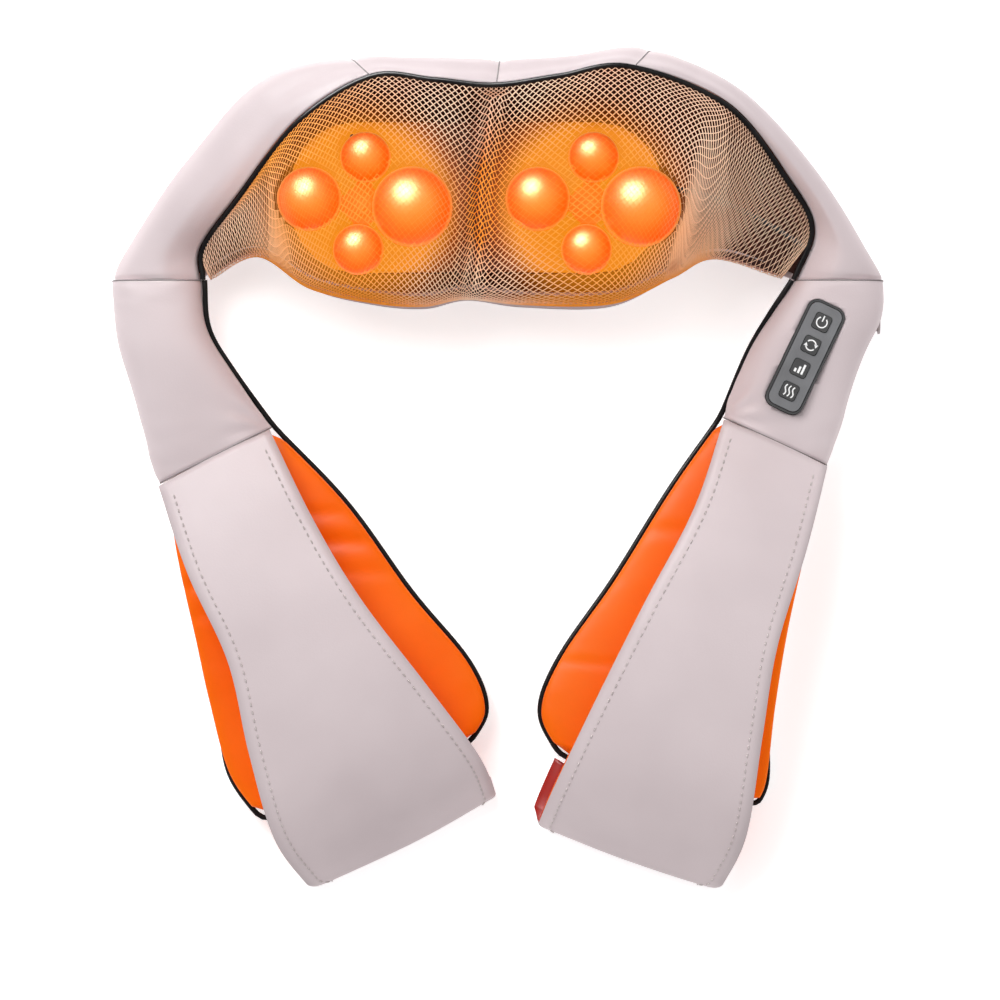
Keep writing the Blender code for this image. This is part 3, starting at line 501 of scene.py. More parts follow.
def leather(name, dark, light, roughness, grain=1.0, sheen=0.06, specular=0.08):
    """Soft coated leather: pebble grain, slow colour drift and slightly polished high spots."""
    m = surface(name, dark, light, (9, 3), (38, 5), (roughness - 0.07, roughness + 0.09))
    m.bumps((m.noise(60, 4), 0.12, 0.0010), (m.cells(900), 0.10 * grain, 0.0003),
            (m.noise(2600, 2), 0.06 * grain, 0.0001))
    return m.set(Sheen_Weight=sheen, Sheen_Roughness=0.4, Specular_IOR_Level=specular).material


def lining_leather():
    """Orange leather with painted shade: deep red low down, where the strap folds back near the
    table.
    """
    m = Nodes("lining_leather")
    # Painted shade: deep red up to 12 mm above the table, fading to orange by 34 mm.
    painted_fold_shade, orange = (0.42, 0.010, 0.002), (0.95, 0.14, 0.002)
    above_painted_shade = m.range(m.upward(m.where), 0.0, 1.0, (0.012, 0.034))
    m.drive("Base Color", m.ramp(above_painted_shade, ((0.0, painted_fold_shade), (1.0, orange))))
    m.drive("Roughness", m.range(m.noise(38, 5), 0.36, 0.5))
    m.bumps((m.noise(60, 4), 0.12, 0.0010), (m.cells(900), 0.08, 0.0003))
    return m.set(Specular_IOR_Level=0.1).material


def net_material():
    """Pale salmon thread with fine fibres, and a painted orange glow near the heads."""
    m = Nodes("net_thread")
    tone = m.ramp(m.noise(14, 3), ((0.3, (0.94, 0.53, 0.35)), (0.7, (1.0, 0.75, 0.55))))
    # Painted light: near the heads the thread turns orange, standing in for their glow on it.
    painted_head_glow = m.tree.nodes.new("ShaderNodeMixRGB")
    m.link(near_heads(m, 0.086, 0.062), painted_head_glow.inputs["Fac"])
    m.link(tone, painted_head_glow.inputs["Color1"])
    painted_head_glow.inputs["Color2"].default_value = (1.0, 0.36, 0.045, 1)
    m.drive("Base Color", painted_head_glow.outputs["Color"])
    m.drive("Roughness", m.range(m.noise(1500, 2), 0.55, 0.8))
    m.bumps((m.noise(2600, 2, (1, 1, 3)), 0.35, 0.0003))
    return m.set(Specular_IOR_Level=0.02).material


def cloth_material():
    """Plain brown cloth with a fine knit, below the net."""
    m = surface("brown_cloth", (0.30, 0.12, 0.08), (0.50, 0.22, 0.15), (22, 4), (300, 3),
                (0.7, 0.92), pale_from=0.72)
    m.bumps((m.noise(80, 3), 0.25, 0.001), (m.cells(1300), 0.4, 0.0004))
    return m.set(Sheen_Weight=0.3, Sheen_Roughness=0.5).material


def gloss_black():
    """Shiny black cord with slight unevenness in its gloss."""
    m = surface("gloss_black_cord", (0.006, 0.006, 0.007), (0.016, 0.015, 0.015), (60, 3),
                (200, 3), (0.20, 0.36))
    m.bumps((m.noise(500, 3), 0.12, 0.0004))
    return m.set(Specular_IOR_Level=0.07).material


def moulded(name, dark, light, roughness, metallic=0.0, grain=1500, specular=0.5):
    """Moulded or machined surface with a fine texture and slight wear in its tone."""
    m = surface(name, dark, light, (45, 5), (130, 5), (roughness - 0.08, roughness + 0.1),
                pale_from=0.75)
    m.bumps((m.noise(grain, 3), 0.12, 0.0002))
    return m.set(Metallic=metallic, Specular_IOR_Level=specular).material


def glowing_head():
    """Orange plastic that glows from inside, with painted highlight and shade: its glow is pale at
    its top and in a band low on its side.
    """
    m = surface("glowing_head", (0.92, 0.085, 0.0), (1.0, 0.115, 0.0), (35, 2), (120, 3),
                (0.40, 0.46))
    normal = m.tree.nodes.new("ShaderNodeTexCoord").outputs["Normal"]
    # Painted highlight and shade in the glow, by which way the surface faces: pale on top, deep
    # orange between, a pale band low on the side and darker at the very side.
    glow = ((0.0, (0.8, 0.09, 0.0)), (0.2, (1.0, 0.55, 0.09)), (0.40, (1.0, 0.12, 0.0)),
            (0.72, (1.0, 0.17, 0.0)), (1.0, (1.0, 0.36, 0.03)))
    m.drive("Emission Color", m.ramp(m.upward(normal), glow))
    m.bumps((m.noise(90, 2), 0.05, 0.0005))
    return m.set(Emission_Strength=0.45, Specular_IOR_Level=1.0,
                 Specular_Tint=(1.0, 0.72, 0.34, 1)).material


def with_painted_lamp_glow(name, dark, light, strength, far=0.064, close=0.030):
    """An inner surface with a painted orange glow near each group of heads, standing in for the light
    of the lamp rings under them.
    """
    m = surface(name, dark, light, (60, 4), (150, 3), (0.7, 0.9))
    # Painted light: emission near the heads stands in for the lamps' light falling on this surface.
    glow = ((0.0, (0, 0, 0)), (0.3, (0.28, 0.055, 0.003)), (0.8, (1.0, 0.30, 0.012)))
    m.drive("Emission Color", m.ramp(near_heads(m, far, close), glow))
    m.bumps((m.noise(900, 3), 0.2, 0.0003))
    return m.set(Emission_Strength=strength, Specular_IOR_Level=0.08).material


def make_looks():
    """Every material by the name of its look, from a dark and a light tone."""
    return {
        "taupe": leather("taupe_leather", (0.590, 0.500, 0.514), (0.690, 0.592, 0.606), 0.52),
        "taupe_back": leather("taupe_leather_back", (0.40, 0.35, 0.35), (0.50, 0.45, 0.45), 0.6),
        "orange": leather("orange_leather", (0.93, 0.130, 0.0), (1.0, 0.180, 0.003), 0.45,
                          grain=0.7, sheen=0.0, specular=0.05),
        "lining_leather": lining_leather(),
        "net": net_material(),
        "cloth": cloth_material(),
        # The lining, deck and carrier looks carry a painted orange glow near the heads.
        "lining": with_painted_lamp_glow("inner_lining", (0.035, 0.008, 0.004), (0.080, 0.018, 0.009), 0.42,
                         far=0.085, close=0.050),
        "cord": gloss_black(),
        "thread": leather("pale_thread", (0.42, 0.36, 0.35), (0.62, 0.56, 0.55), 0.7, grain=2.0),
        "seam": moulded("seam_shadow", (0.10, 0.08, 0.08), (0.17, 0.14, 0.14), 0.8),
        "head": glowing_head(),
        "deck": with_painted_lamp_glow("deck_painted_lamp_glow", (0.040, 0.011, 0.004), (0.070, 0.020, 0.008), 0.85,
                       far=0.070, close=0.030),
        "carrier": with_painted_lamp_glow("carrier_painted_lamp_glow", (0.50, 0.09, 0.01), (0.75, 0.15, 0.02), 0.45),
        "screw": moulded("blackened_steel", (0.035, 0.022, 0.018), (0.06, 0.04, 0.03), 0.5),
        "gear": moulded("gear_plastic", (0.70, 0.68, 0.62), (0.82, 0.80, 0.74), 0.42),
        "steel": moulded("machined_steel", (0.48, 0.48, 0.50), (0.62, 0.62, 0.64), 0.32,
                         metallic=1.0, grain=2600),
        "bronze": moulded("sintered_bronze", (0.42, 0.27, 0.12), (0.58, 0.40, 0.19), 0.42,
                          metallic=1.0),
        "board": moulded("circuit_board", (0.02, 0.15, 0.06), (0.04, 0.24, 0.10), 0.38),
        "panel": moulded("panel_grey", (0.11, 0.111, 0.118), (0.158, 0.160, 0.170), 0.45,
                         specular=0.3),
        "socket": moulded("socket_taupe", (0.36, 0.31, 0.31), (0.44, 0.38, 0.38), 0.5),
        "button": moulded("button_black", (0.005, 0.005, 0.006), (0.012, 0.012, 0.013), 0.5,
                          specular=0.25),
        "icon": moulded("icon_white", (0.82, 0.82, 0.82), (0.92, 0.92, 0.92), 0.5),
    }


# ---------------- collar

def section_at(share):
    """Outer edge, piping, lower edge and top of the net, a share of the way round the collar."""
    outer, rim, inner = (smooth([section[part] for section in COLLAR], share) for part in range(3))
    crown = smooth([(section[3], 0) for section in COLLAR], share).x
    return outer, rim, inner, crown


def leather_keys(outer, rim, inner):
    """Key points of the leather in one section, from under the net round to the piping."""
    across = (outer - inner).normalized()
    raised = max(0.0, min(1.0, (rim.z - ARM_RIM_Z) / SHOULDER_RISE))
    lip = inner + across * 7
    side_z = 22 + 20 * raised
    ridge = (outer + rim.xy) / 2
    ridge_z = (1 - raised) * ARM_TOP_Z + raised * RIDGE_Z
    top = rim.xy - (rim.xy - outer).normalized() * PIPING_CLEAR
    keys = (
        (lip, HEM_Z), (lip, 4), (inner + across * 11, 0), (outer - across * 13, 0),
        (outer - across * 3, side_z * 0.4), (outer, side_z),
        ((outer * 2 + ridge) / 3, (side_z + ridge_z * 1.2) / 2), (ridge, ridge_z),
        ((ridge + top) / 2, (ridge_z + rim.z) / 2 + 2), (top, rim.z),
    )
    return [Vector((*plan, z)) for plan, z in keys]


def seam_line(name, path, radius, body, looks):
    """A thin dark line along a seam."""
    line = tube(name, path, radius, looks["seam"], 1)
    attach(line, body)


def make_collar_leather(looks):
    """Padded leather of the collar, drawn in at its sewn panel seams."""
    count, fine, step = 220, 46, 2.6
    plain = 0.4                # share of each section, underneath, that keeps its plain shape
    on_ridge = fine * 2 // 3   # the column of points along the ridge
    rows = []
    for k in range(count):
        keys = leather_keys(*section_at(k / (count - 1))[:3])
        row = [smooth(keys, j / (fine - 1)) for j in range(fine)]
        x = row[on_ridge].x
        out = Vector((*(keys[5].xy - keys[9].xy).normalized(), 1.2)).normalized()
        pull = sum(bump(x - seam, 5.0) for seam in PANEL_SEAMS_X)
        pull += bump(min(k, count - 1 - k) * step, 6.0)
        near = sum(bump(x - seam, 26.0) for seam in PANEL_SEAMS_X)
        for j, point in enumerate(row):
            point.z = max(point.z, 0.0)
            if j < fine * plain:
                continue
            crease = wavy((point.x * 0.5, point.y * 2.2, point.z), 16, 3.1) * 1.1 * near
            edge = eased((j / fine - plain) / 0.1) * eased((fine - 1 - j) / 4)
            point += out * edge * (0.9 * wavy(point, 42) + crease - 1.7 * pull)
        rows.append(row)
    body = sheet_piece("collar_leather", [r[::-1] for r in rows], LEATHER_THICK, looks["taupe"],
                       looks["lining"])
    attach(body, "collar")
    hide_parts("neck_cover")

    raised = rows[count // 5:4 * count // 5]
    for index, seam in enumerate(PANEL_SEAMS_X, 1):
        row = min(raised, key=lambda r: abs(r[on_ridge].x - seam))
        seam_line(f"panel_seam_{index}", row[int(fine * 0.42):], 0.42, "collar", looks)


def net_keys(rim, inner, crown):
    """Key points of the net in one section, from the piping over its crown to the hem."""
    across = inner - rim.xy
    length = across.length
    across.normalize()
    start = PIPING_CLEAR - 1.0
    span, lift, depth = length - start, crown - rim.z, crown - HEM_Z
    shape = (
        (start, rim.z), (start + span * 0.10, rim.z + 0.55 * lift),
        (start + span * 0.26, rim.z + 0.92 * lift), (start + span * 0.48, crown),
        (start + span * 0.70, crown - 0.5), (start + span * 0.87, crown - 0.04 * depth),
        (start + span * 0.965, crown - 0.13 * depth), (length, HEM_Z + 0.62 * depth),
        (length - 2.5, HEM_Z + 0.3 * depth), (length - 7, HEM_Z + 0.4),
    )
    return [Vector((*(rim.xy + across * d), z)) for d, z in shape]


def gathered(x, start, width):
    """0 over the lobes, rising to 1 towards the net's ends, where it is drawn together."""
    return eased((abs(x - VALLEY_X) - start) / width)


def net_line(share):
    """One section of the net as points a millimetre or two apart, with its gathers."""
    _, rim, inner, crown = section_at(share)
    keys, fine, line = net_keys(rim, inner, crown), 90, []
    for k in range(fine + 1):
        down = k / fine
        point = smooth(keys, down)
        crease = point.x - (VALLEY_X - VALLEY_SLANT * down)
        ends = gathered(point.x, 122, 24)
        free = eased(down / 0.06)
        point.z += NET_LIFT - 10.0 * bump(crease, 9.0) * free * eased((1 - down) / 0.3)
        point.z += free * bump(crease, 15.0) * sin(crease * 0.9 + 1.3 * sin(point.y * 0.09))
        point.z += free * ends * 0.7 * wavy(point, 9, 4.2)
        point.z += free * 0.9 * wavy(point, 24, 7.7) * (1 - ends)
        line.append(point)
    return line


def net_shares():
    """Places round the collar half a diamond apart, closer where the net is drawn together."""
    shares, at, ahead = [], NET_SPAN[0], 0.001
    while at < NET_SPAN[1]:
        shares.append(at)
        x = section_at(at)[1].x
        packed = 1 - 0.42 * gathered(x, 112, 30) - 0.3 * bump(x - VALLEY_X, 9)
        slope = (section_at(at + ahead)[1] - section_at(at)[1]).length / ahead
        at += NET_PITCH / 2 * packed / slope
    if len(shares) % 2 == 0:
        shares.pop()
    return shares


def net_diamonds(lines):
    """Corners of the diamonds, which lie on every second crossing, and their closed faces."""
    half, points = NET_PITCH / 2, {}
    down = int(NET_END * max(length_of(line) for line in lines) / half)
    for i, line in enumerate(lines):
        stop = NET_END * length_of(line)
        step = half * (1 + 1.3 * gathered(line[0].x, 118, 30))
        for j in range(down + 1):
            if j * step <= stop:
                points[i, j] = along_line(line, j * step)
    corners = [spot for spot in points if sum(spot) % 2 == 0]
    index = {spot: n for n, spot in enumerate(corners)}
    faces = []
    for i in range(len(lines)):
        for j in range(down + 1):
            around = ((i - 1, j), (i, j - 1), (i + 1, j), (i, j + 1))
            ring = [index[spot] for spot in around if spot in index]
            if len(ring) > 2:
                faces.append(tuple(ring))
    return [points[spot] for spot in corners], faces


def open_diamonds(net):
    """Opens each diamond, and leaves strands of the width that its place has."""
    bm = bmesh.new()
    bm.from_mesh(net.data)
    heads = [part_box(node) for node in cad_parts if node.startswith("head_")]
    circles = [((Vector(a) + Vector(b)).xy / 2, (b[0] - a[0]) / 2 + MM) for a, b in heads]
    holes = {NET_STRAND_HEADS: [], NET_STRAND_ENDS: [], NET_STRAND: []}
    for face in bm.faces:
        at = face.calc_center_median().xy
        if any((at - middle).length < radius for middle, radius in circles):
            holes[NET_STRAND_HEADS].append(face)
        elif abs(at.x) > GATHERED_X * MM:
            holes[NET_STRAND_ENDS].append(face)
        else:
            holes[NET_STRAND].append(face)
    for strand, faces in holes.items():
        bmesh.ops.inset_individual(bm, faces=faces, thickness=strand * MM, depth=-0.3 * MM)
    bmesh.ops.delete(bm, geom=sum(holes.values(), []), context="FACES")
    bm.to_mesh(net.data)
    bm.free()
    net.data.shade_smooth()


def make_net(looks):
    """Open diamond net over the heads, with plain cloth below it."""
    lines = [net_line(share) for share in net_shares()]
    net = mesh_piece("net_cover", *net_diamonds(lines), looks["net"])
    open_diamonds(net)
    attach(net, "collar")
    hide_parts("mesh_cover")
    make_skirt(lines, looks)


def make_skirt(lines, looks):
    """Plain cloth that goes on from the net's lower edge to the hem."""
    columns, rows = 16, []
    for line in lines:
        whole = length_of(line)
        start = NET_END * whole - NET_PITCH
        row = [along_line(line, start + (whole - start) * j / (columns - 1)) for j in range(columns)]
        row[-1].z = HEM_Z + 0.6
        rows.append(row)
    skirt = sheet_piece("net_skirt", [r[::-1] for r in rows], 1.2, looks["cloth"], looks["lining"])
    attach(skirt, "collar")
    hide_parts("mesh_cover")


def make_collar_piping(looks):
    """Cord along the seam between the leather and the net."""
    path, steps, proud = [], 140, 0.8
    for k in range(steps + 1):
        rim = section_at(k / steps)[1]
        path.append(Vector((rim.x, rim.y, rim.z + proud)))
    path[0].y = path[-1].y = SEAM_Y + 0.6
    cord = tube("collar_piping", path, PIPING_R, looks["cord"])
    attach(cord, "collar")
    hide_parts("neck_piping")


# ---------------- massage heads

def make_heads(looks):
    """Smooth domed heads, each with a shallow grip groove near its foot."""
    foot_angle, top_gap, steps = 0.93, 0.03, 25
    for node in list(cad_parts):
        if not node.startswith("head_"):
            continue
        low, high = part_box(node)
        base, top = low[2] / MM, high[2] / MM
        radius = (top - base) / 1.8
        centre = base + 0.8 * radius
        profile = [(radius * 0.30, base), (radius * 0.58, base)]
        for k in range(steps + 1):
            angle = -foot_angle + (pi / 2 + foot_angle - top_gap) * k / steps
            reach = radius - 0.35 * bump(angle + 0.55, 0.05)
            profile.append((reach * cos(angle), centre + reach * sin(angle)))
        piece = turned(f"glow_{node}", profile, middle_of(node) / MM, looks["head"])
        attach(piece, node)
        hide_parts(node)


# ---------------- arms

def lines_of(arm, stretch):
    """Outer and inner edge of a stretch of an arm, as functions of a share of its length."""
    outer, inner = ARMS[arm][stretch]
    return (lambda t: smooth(outer, t)), (lambda t: smooth(inner, t))


def pillow_ring(inner, outer, low, high, squareness, count):
    """A rounded section between two edges in plan, with fuller corners at a higher squareness."""
    middle, half = (inner + outer) / 2, (outer - inner) / 2
    centre, rise = (low + high) / 2, (high - low) / 2
    ring = []
    for k in range(count):
        angle = 2 * pi * (k + 0.5) / count
        c, s = cos(angle), sin(angle)
        across = abs(c) ** (2 / squareness) * (1 if c > 0 else -1)
        up = abs(s) ** (2 / squareness) * (1 if s > 0 else -1)
        plan = middle + half * across
        ring.append(Vector((plan.x, plan.y, centre + rise * up)))
    return ring


def panel_frame():
    """Middle and turn of the control panel, read from the row of buttons in the frame."""
    first, last = (middle_of(f"button_{word}") / MM for word in ("heat", "power"))
    along = (last - first).xy.normalized()
    return (first + last) / 2, atan2(-along.x, along.y)


def panel_distance(point):
    """How far a point lies outside the control panel's outline in plan, in millimetres."""
    at, turn = panel_frame()
    local = Matrix.Rotation(-turn, 2) @ (point.xy - at.xy)
    beyond_x, beyond_y = abs(local.x) - TRAY_HALF[0], abs(local.y) - TRAY_HALF[1]
    return Vector((max(beyond_x, 0), max(beyond_y, 0))).length


def upper_arm_rings(arm):
    """Rings from the collar to the strap, drawn in at both seams and flat round the panel."""
    outer, inner = lines_of(arm, "upper")
    count, step, rings = 64, 1.9, []
    for k in range(count):
        t = k / (count - 1)
        from_collar, from_strap = k * step, (count - 1 - k) * step
        top = ARM_TOP_Z + 1.5 * sin(pi * t) - 7 * t ** 3
        pull = bump(from_collar, 5.5) * 0.6 + bump(from_strap, 4.0) * 0.6
        near_seam = bump(from_collar, 22) + bump(from_strap, 18)
        ring = pillow_ring(inner(t), outer(t), -1.2, top, 3.0, 56)
        middle = sum(ring, Vector()) / len(ring)
        for point in ring:
            away = (point - middle).normalized()
            calm = eased(panel_distance(point) / 9) if arm == "right" and point.z > 20 else 1.0
            fold = wavy((point.x * 0.8, point.y * 2.0, point.z), 15, 5.2) * near_seam
            # Pleats fan out from the inner corner, where the strap is sewn on
            spoke = point.xy - inner(1)
            turn = atan2(spoke.y, spoke.x)
            gather = 1.1 * sin(turn * 11) * bump(spoke.length - 17, 13) * (point.z > 15)
            point += away * (calm * (0.8 * wavy(point, 34, 1.3) + fold + gather) - 1.1 * pull)
            point.z = max(point.z, 0.0)
        rings.append(ring)
    return rings


def make_upper_arm(arm, looks):
    """Padded leather between the collar and the strap, with a seam at each end."""
    rings = upper_arm_rings(arm)
    piece = closed_loft(f"shoulder_{arm}", rings, looks["taupe"])
    if arm == "right":
        piece = with_pocket(piece, looks)
    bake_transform(piece)
    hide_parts(f"upper_arm_{arm}")

    seam_line(f"shoulder_seam_{arm}", rings[0] + rings[0][:1], 0.4, "collar", looks)
    end = sorted((p + Vector((0, 0, 0.25)) for p in rings[-1] if p.z > 22), key=lambda p: p.x)
    seam_line(f"strap_seam_{arm}", end, 0.35, f"arm_{arm}", looks)


def with_pocket(piece, looks):
    """Cuts the recess that the control panel and its tray sit in."""
    at, turn = panel_frame()
    half_x, half_y, steps = TRAY_HALF[0] + POCKET_GAP, TRAY_HALF[1] + POCKET_GAP, 6
    outline = []
    for quarter, (sx, sy) in enumerate(((1, 1), (-1, 1), (-1, -1), (1, -1))):
        for k in range(steps + 1):
            a = pi / 2 * (quarter + k / steps)
            local = Vector((sx * (half_x - POCKET_CORNER) + POCKET_CORNER * cos(a),
                            sy * (half_y - POCKET_CORNER) + POCKET_CORNER * sin(a)))
            outline.append(Matrix.Rotation(turn, 2) @ local + at.xy)
    cutter = closed_loft("pocket_cutter", [[Vector((*p, z)) for p in outline] for z in POCKET_Z],
                         looks["taupe"])
    cut = piece.modifiers.new("Pocket", "BOOLEAN")
    cut.operation = "DIFFERENCE"
    cut.solver = "EXACT"
    cut.object = cutter
    made = as_mesh(piece)
    bpy.data.objects.remove(cutter)
    return made


def pad_rings(arm, far_z, up):
    """Rings of one half of a pad, from its sewn edge to far_z: up is 1 above the seam, -1 below."""
    outer, inner = lines_of(arm, "pad")
    count, ring_count, rings = 84, 60, []
    for k in range(count):
        t = 0.004 + 0.994 * k / (count - 1)
        a, b = inner(t), outer(t)
        # Both ends are drawn in and thinner, so the pad looks rounded from every side
        end = min(1.0, (1 - t) / 0.06)
        narrow = 0.07 * (1 - end) + 0.07 * bump(t, 0.02)
        a, b = a.lerp(b, narrow), b.lerp(a, narrow)
        fall = 3.0 * t if up > 0 else 0.0
        swell = (0.45 + 0.55 * eased(end)) * (0.75 + 0.25 * eased(t / 0.05))
        tip = PAD_SEAM_Z + (far_z - fall - PAD_SEAM_Z) * swell
        low, high = sorted((PAD_SEAM_Z + up * 0.25, tip))
        ring = pillow_ring(a, b, low, high, 2.7, ring_count)
        for point in ring:
            side = (point.xy - (a + b) / 2).length / max((b - a).length / 2, 1)
            crown = up * eased((abs(point.z - PAD_SEAM_Z) - 3) / 8)
            pucker = 0.35 * bump(1 - side, 0.16) * wavy(point, 7, 1.7)
            fold = sum(deep * bump(t - at - 0.05 * side, 0.013) for at, deep in PAD_FOLDS[arm])
            point.z += crown * (0.8 * wavy(point, 34, 2.4) + pucker - fold * (up > 0))
            if up < 0:
                point.z = max(point.z, 0.0)
        rings.append(ring)
    return rings


def make_pads(arm, looks):
    """Orange palm pad over a grey back: crowned forms that close at the sewn, piped edge."""
    halves = (("palm_pad", 31.0, 1, looks["orange"], "orange_leather"),
              ("pad_back", 0.0, -1, looks["taupe_back"], "taupe_leather"))
    for name, far_z, up, look, slot_name in halves:
        piece = closed_loft(f"{name}_cushion_{arm}", pad_rings(arm, far_z, up), look)
        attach(piece, f"arm_{arm}")
        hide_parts(f"{name}_{arm}")


def rounding(t, radius, length):
    """How far a round corner draws the strap's edge in, near the strap's far end."""
    x = min(max((t - 1) * length / radius + 1, 0.0), 1.0)
    return radius * (1 - (1 - x * x) ** 0.5)


def strap_stations(arm, count):
    """(outer point, inner point, normal) along the strap, out over the hand and back under."""
    outer, inner = lines_of(arm, "strap")
    shift, reach = ARMS[arm]["return_shift"], ARMS[arm]["return_reach"]
    start, end = (outer(0) + inner(0)) / 2, (outer(1) + inner(1)) / 2
    length, down = (end - start).length, (end - start).normalized()
    made, step_share = [], 0.002
    for k in range(count):
        share = k / (count - 1)
        t, z = smooth(STRAP_PROFILE, share)
        before = smooth(STRAP_PROFILE, max(share - step_share, 0))
        after = smooth(STRAP_PROFILE, min(share + step_share, 1))
        step = Vector(((after.x - before.x) * length, after.y - before.y)).normalized()
        normal = Vector((*(down * -step.y), step.x))
        a, b = outer(t), inner(t)
        if share > TURN_SHARE:
            b = inner(1 - (1 - t) * reach)
            b = b + (b - a).normalized() * shift * min(1.0, (1 - t) / 0.03)
        wide = (b - a).normalized()
        a = a + wide * rounding(t, OUTER_CORNER, length)
        b = b - wide * rounding(t, INNER_CORNER, length)
        made.append((Vector((*a, z)), Vector((*b, z)), normal))
    return made


def strap_rows(stations, depth, spread_out, spread_in, columns=15):
    """A slightly arched grid along the stations, depth below them and spread past each edge."""
    rows = []
    for k, (outer, inner, normal) in enumerate(stations):
        wide = (inner - outer).normalized()
        a, b = outer - wide * spread_out, inner + wide * spread_in
        soft = eased(k / 8) * eased((len(stations) - 1 - k) / 8)
        row = []
        for j in range(columns):
            s = j / (columns - 1)
            arch = 2.4 * (1 - (2 * s - 1) ** 2)
            ripple = 0.35 * sin(k * 0.21) * (2 * s - 1) ** 2
            point = a.lerp(b, s) + normal * (arch - depth)
            point += normal * soft * (0.8 * wavy(point, 46, 9.1) + ripple)
            row.append(point)
        rows.append(row)
    return rows


def facing_out(arm, rows):
    """The rows with their columns ordered so that the sheet's outer face looks outwards."""
    return rows if arm == "left" else [row[::-1] for row in rows]


def make_strap(arm, looks):
    """Leather hand strap with two rows of stitches, on an orange lining that shows at its edge."""
    stations = strap_stations(arm, 180)
    tuck = (stations[0][0] - stations[8][0]).normalized() * 1.6
    stations[0] = (stations[0][0] + tuck, stations[0][1] + tuck, stations[0][2])
    rows = strap_rows(stations, 0.0, -0.5, -0.3)
    strap = sheet_piece(f"strap_leather_{arm}", facing_out(arm, rows), STRAP_THICK, looks["taupe"])
    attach(strap, f"arm_{arm}")
    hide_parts(f"hand_strap_{arm}")

    shows = 0.15 if ARMS[arm]["return_shift"] else -1.2
    lined = strap_rows(stations[LINED], STRAP_THICK + LINING_GAP, -0.9, shows)
    lining = sheet_piece(f"strap_lining_orange_{arm}", facing_out(arm, lined), LINING_THICK,
                         looks["lining_leather"])
    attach(lining, f"arm_{arm}")
    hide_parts(f"strap_lining_{arm}")

    runs, columns = [], len(rows[0])
    for near_outer in (True, False):
        path, normals = [], []
        for row, (outer, inner, normal) in zip(rows[STITCHED], stations[STITCHED]):
            share = STITCH_INSET / (inner - outer).length * (columns - 1)
            at = share if near_outer else columns - 1 - share
            j = min(int(at), columns - 2)
            path.append(row[j].lerp(row[j + 1], at - j))
            normals.append(normal)
        runs.append((path, normals))
    thread = stitches(f"strap_stitches_{arm}", runs, looks["thread"])
    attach(thread, f"arm_{arm}")


def beside(edge, other, t, proud):
    """A point at a share of an edge, moved away from the other edge."""
    return edge(t) + (edge(t) - other(t)).normalized() * proud


def arm_piping_path(arm):
    """Down the arm's inner side, round the pad's end and up its outer side under the strap."""
    upper_out, upper_in = lines_of(arm, "upper")
    pad_out, pad_in = lines_of(arm, "pad")
    proud, tucked = PIPING_R * 0.6, 3.4
    path = []
    for k in range(28):
        t = k / 28
        z = ARM_RIM_Z - (ARM_RIM_Z - PAD_SEAM_Z) * t ** 1.5
        path.append(Vector((*beside(upper_in, upper_out, t, proud), z)))
    for k in range(46):
        path.append(Vector((*beside(pad_in, pad_out, k / 45, proud), PAD_SEAM_Z)))
    end_in, end_out = path[-1].xy, beside(pad_out, pad_in, 1, proud)
    ahead = (pad_in(1) - pad_in(0.9) + pad_out(1) - pad_out(0.9)).normalized()
    for k in range(1, 24):
        share = k / 24
        bow = ahead * (1.0 + 3.5 * sin(pi * share))
        path.append(Vector((*(end_in.lerp(end_out, share) + bow), PAD_SEAM_Z)))
    for k in range(40):
        t = 1 - 0.97 * k / 39
        shown = eased((t - 0.62) / 0.2)
        out = proud * shown - tucked * (1 - shown)
        path.append(Vector((*beside(pad_out, pad_in, t, out), PAD_SEAM_Z)))
    path[0].y = SEAM_Y + 0.4
    for _ in range(2):
        softer = [(a + 2 * b + c) / 4 for a, b, c in zip(path, path[1:], path[2:])]
        path = [path[0], *softer, path[-1]]
    return path


def make_arm_piping(arm, looks):
    """Cord sewn round the arm and its pad."""
    cord = tube(f"arm_cord_{arm}", arm_piping_path(arm), PIPING_R, looks["cord"])
    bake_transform(cord)
    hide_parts(f"arm_piping_{arm}")


# ---------------- controls

def flat_ribbon(path, width):
    """Left and right edges of a flat line of even width."""
    left, right = [], []
    for k, point in enumerate(path):
        step = (path[min(k + 1, len(path) - 1)] - path[max(k - 1, 0)]).normalized()
        side = Vector((-step.y, step.x)) * width / 2
        left.append(point + side)
        right.append(point - side)
    return left, right


def arc(radius, start, end, steps=18):
    """Points of an arc about the middle, from a start to an end angle in degrees."""
    angles = [radians(start + (end - start) * k / steps) for k in range(steps + 1)]
    return [Vector((radius * cos(angle), radius * sin(angle))) for angle in angles]


def icon_shapes(word):
    """Polygons and lines of a plain icon, in millimetres about the button's middle."""
    if word == "power":
        return [], [arc(2.5, 125, 415), [Vector((0, 0.4)), Vector((0, 3.3))]]
    if word == "direction":
        lines, heads = [], []
        for turn in (0, 180):
            lines.append(arc(2.4, turn + 20, turn + 150))
            tip, spin = arc(2.4, turn + 8, turn + 8, 1)[0], radians(turn + 8)
            out, back = Vector((cos(spin), sin(spin))), Vector((-sin(spin), cos(spin)))
            heads.append([tip - back * 0.9, tip + back * 0.8 + out, tip + back * 0.8 - out])
        return heads, lines
    if word == "intensity":
        bars, foot, wide = [], -2.5, 1.05
        for k, height in enumerate((1.8, 3.3, 4.9)):
            x = -2.3 + 1.75 * k
            corners = ((x, foot), (x + wide, foot), (x + wide, foot + height), (x, foot + height))
            bars.append([Vector(corner) for corner in corners])
        return bars, []
    waves, steps, pitch, tall = [], 14, 1.9, 5.2
    for k in (-1, 0, 1):
        waves.append([Vector((pitch * k + 0.55 * sin(2 * pi * s / steps), tall * (s / steps - 0.5)))
                      for s in range(steps + 1)])
    return [], waves


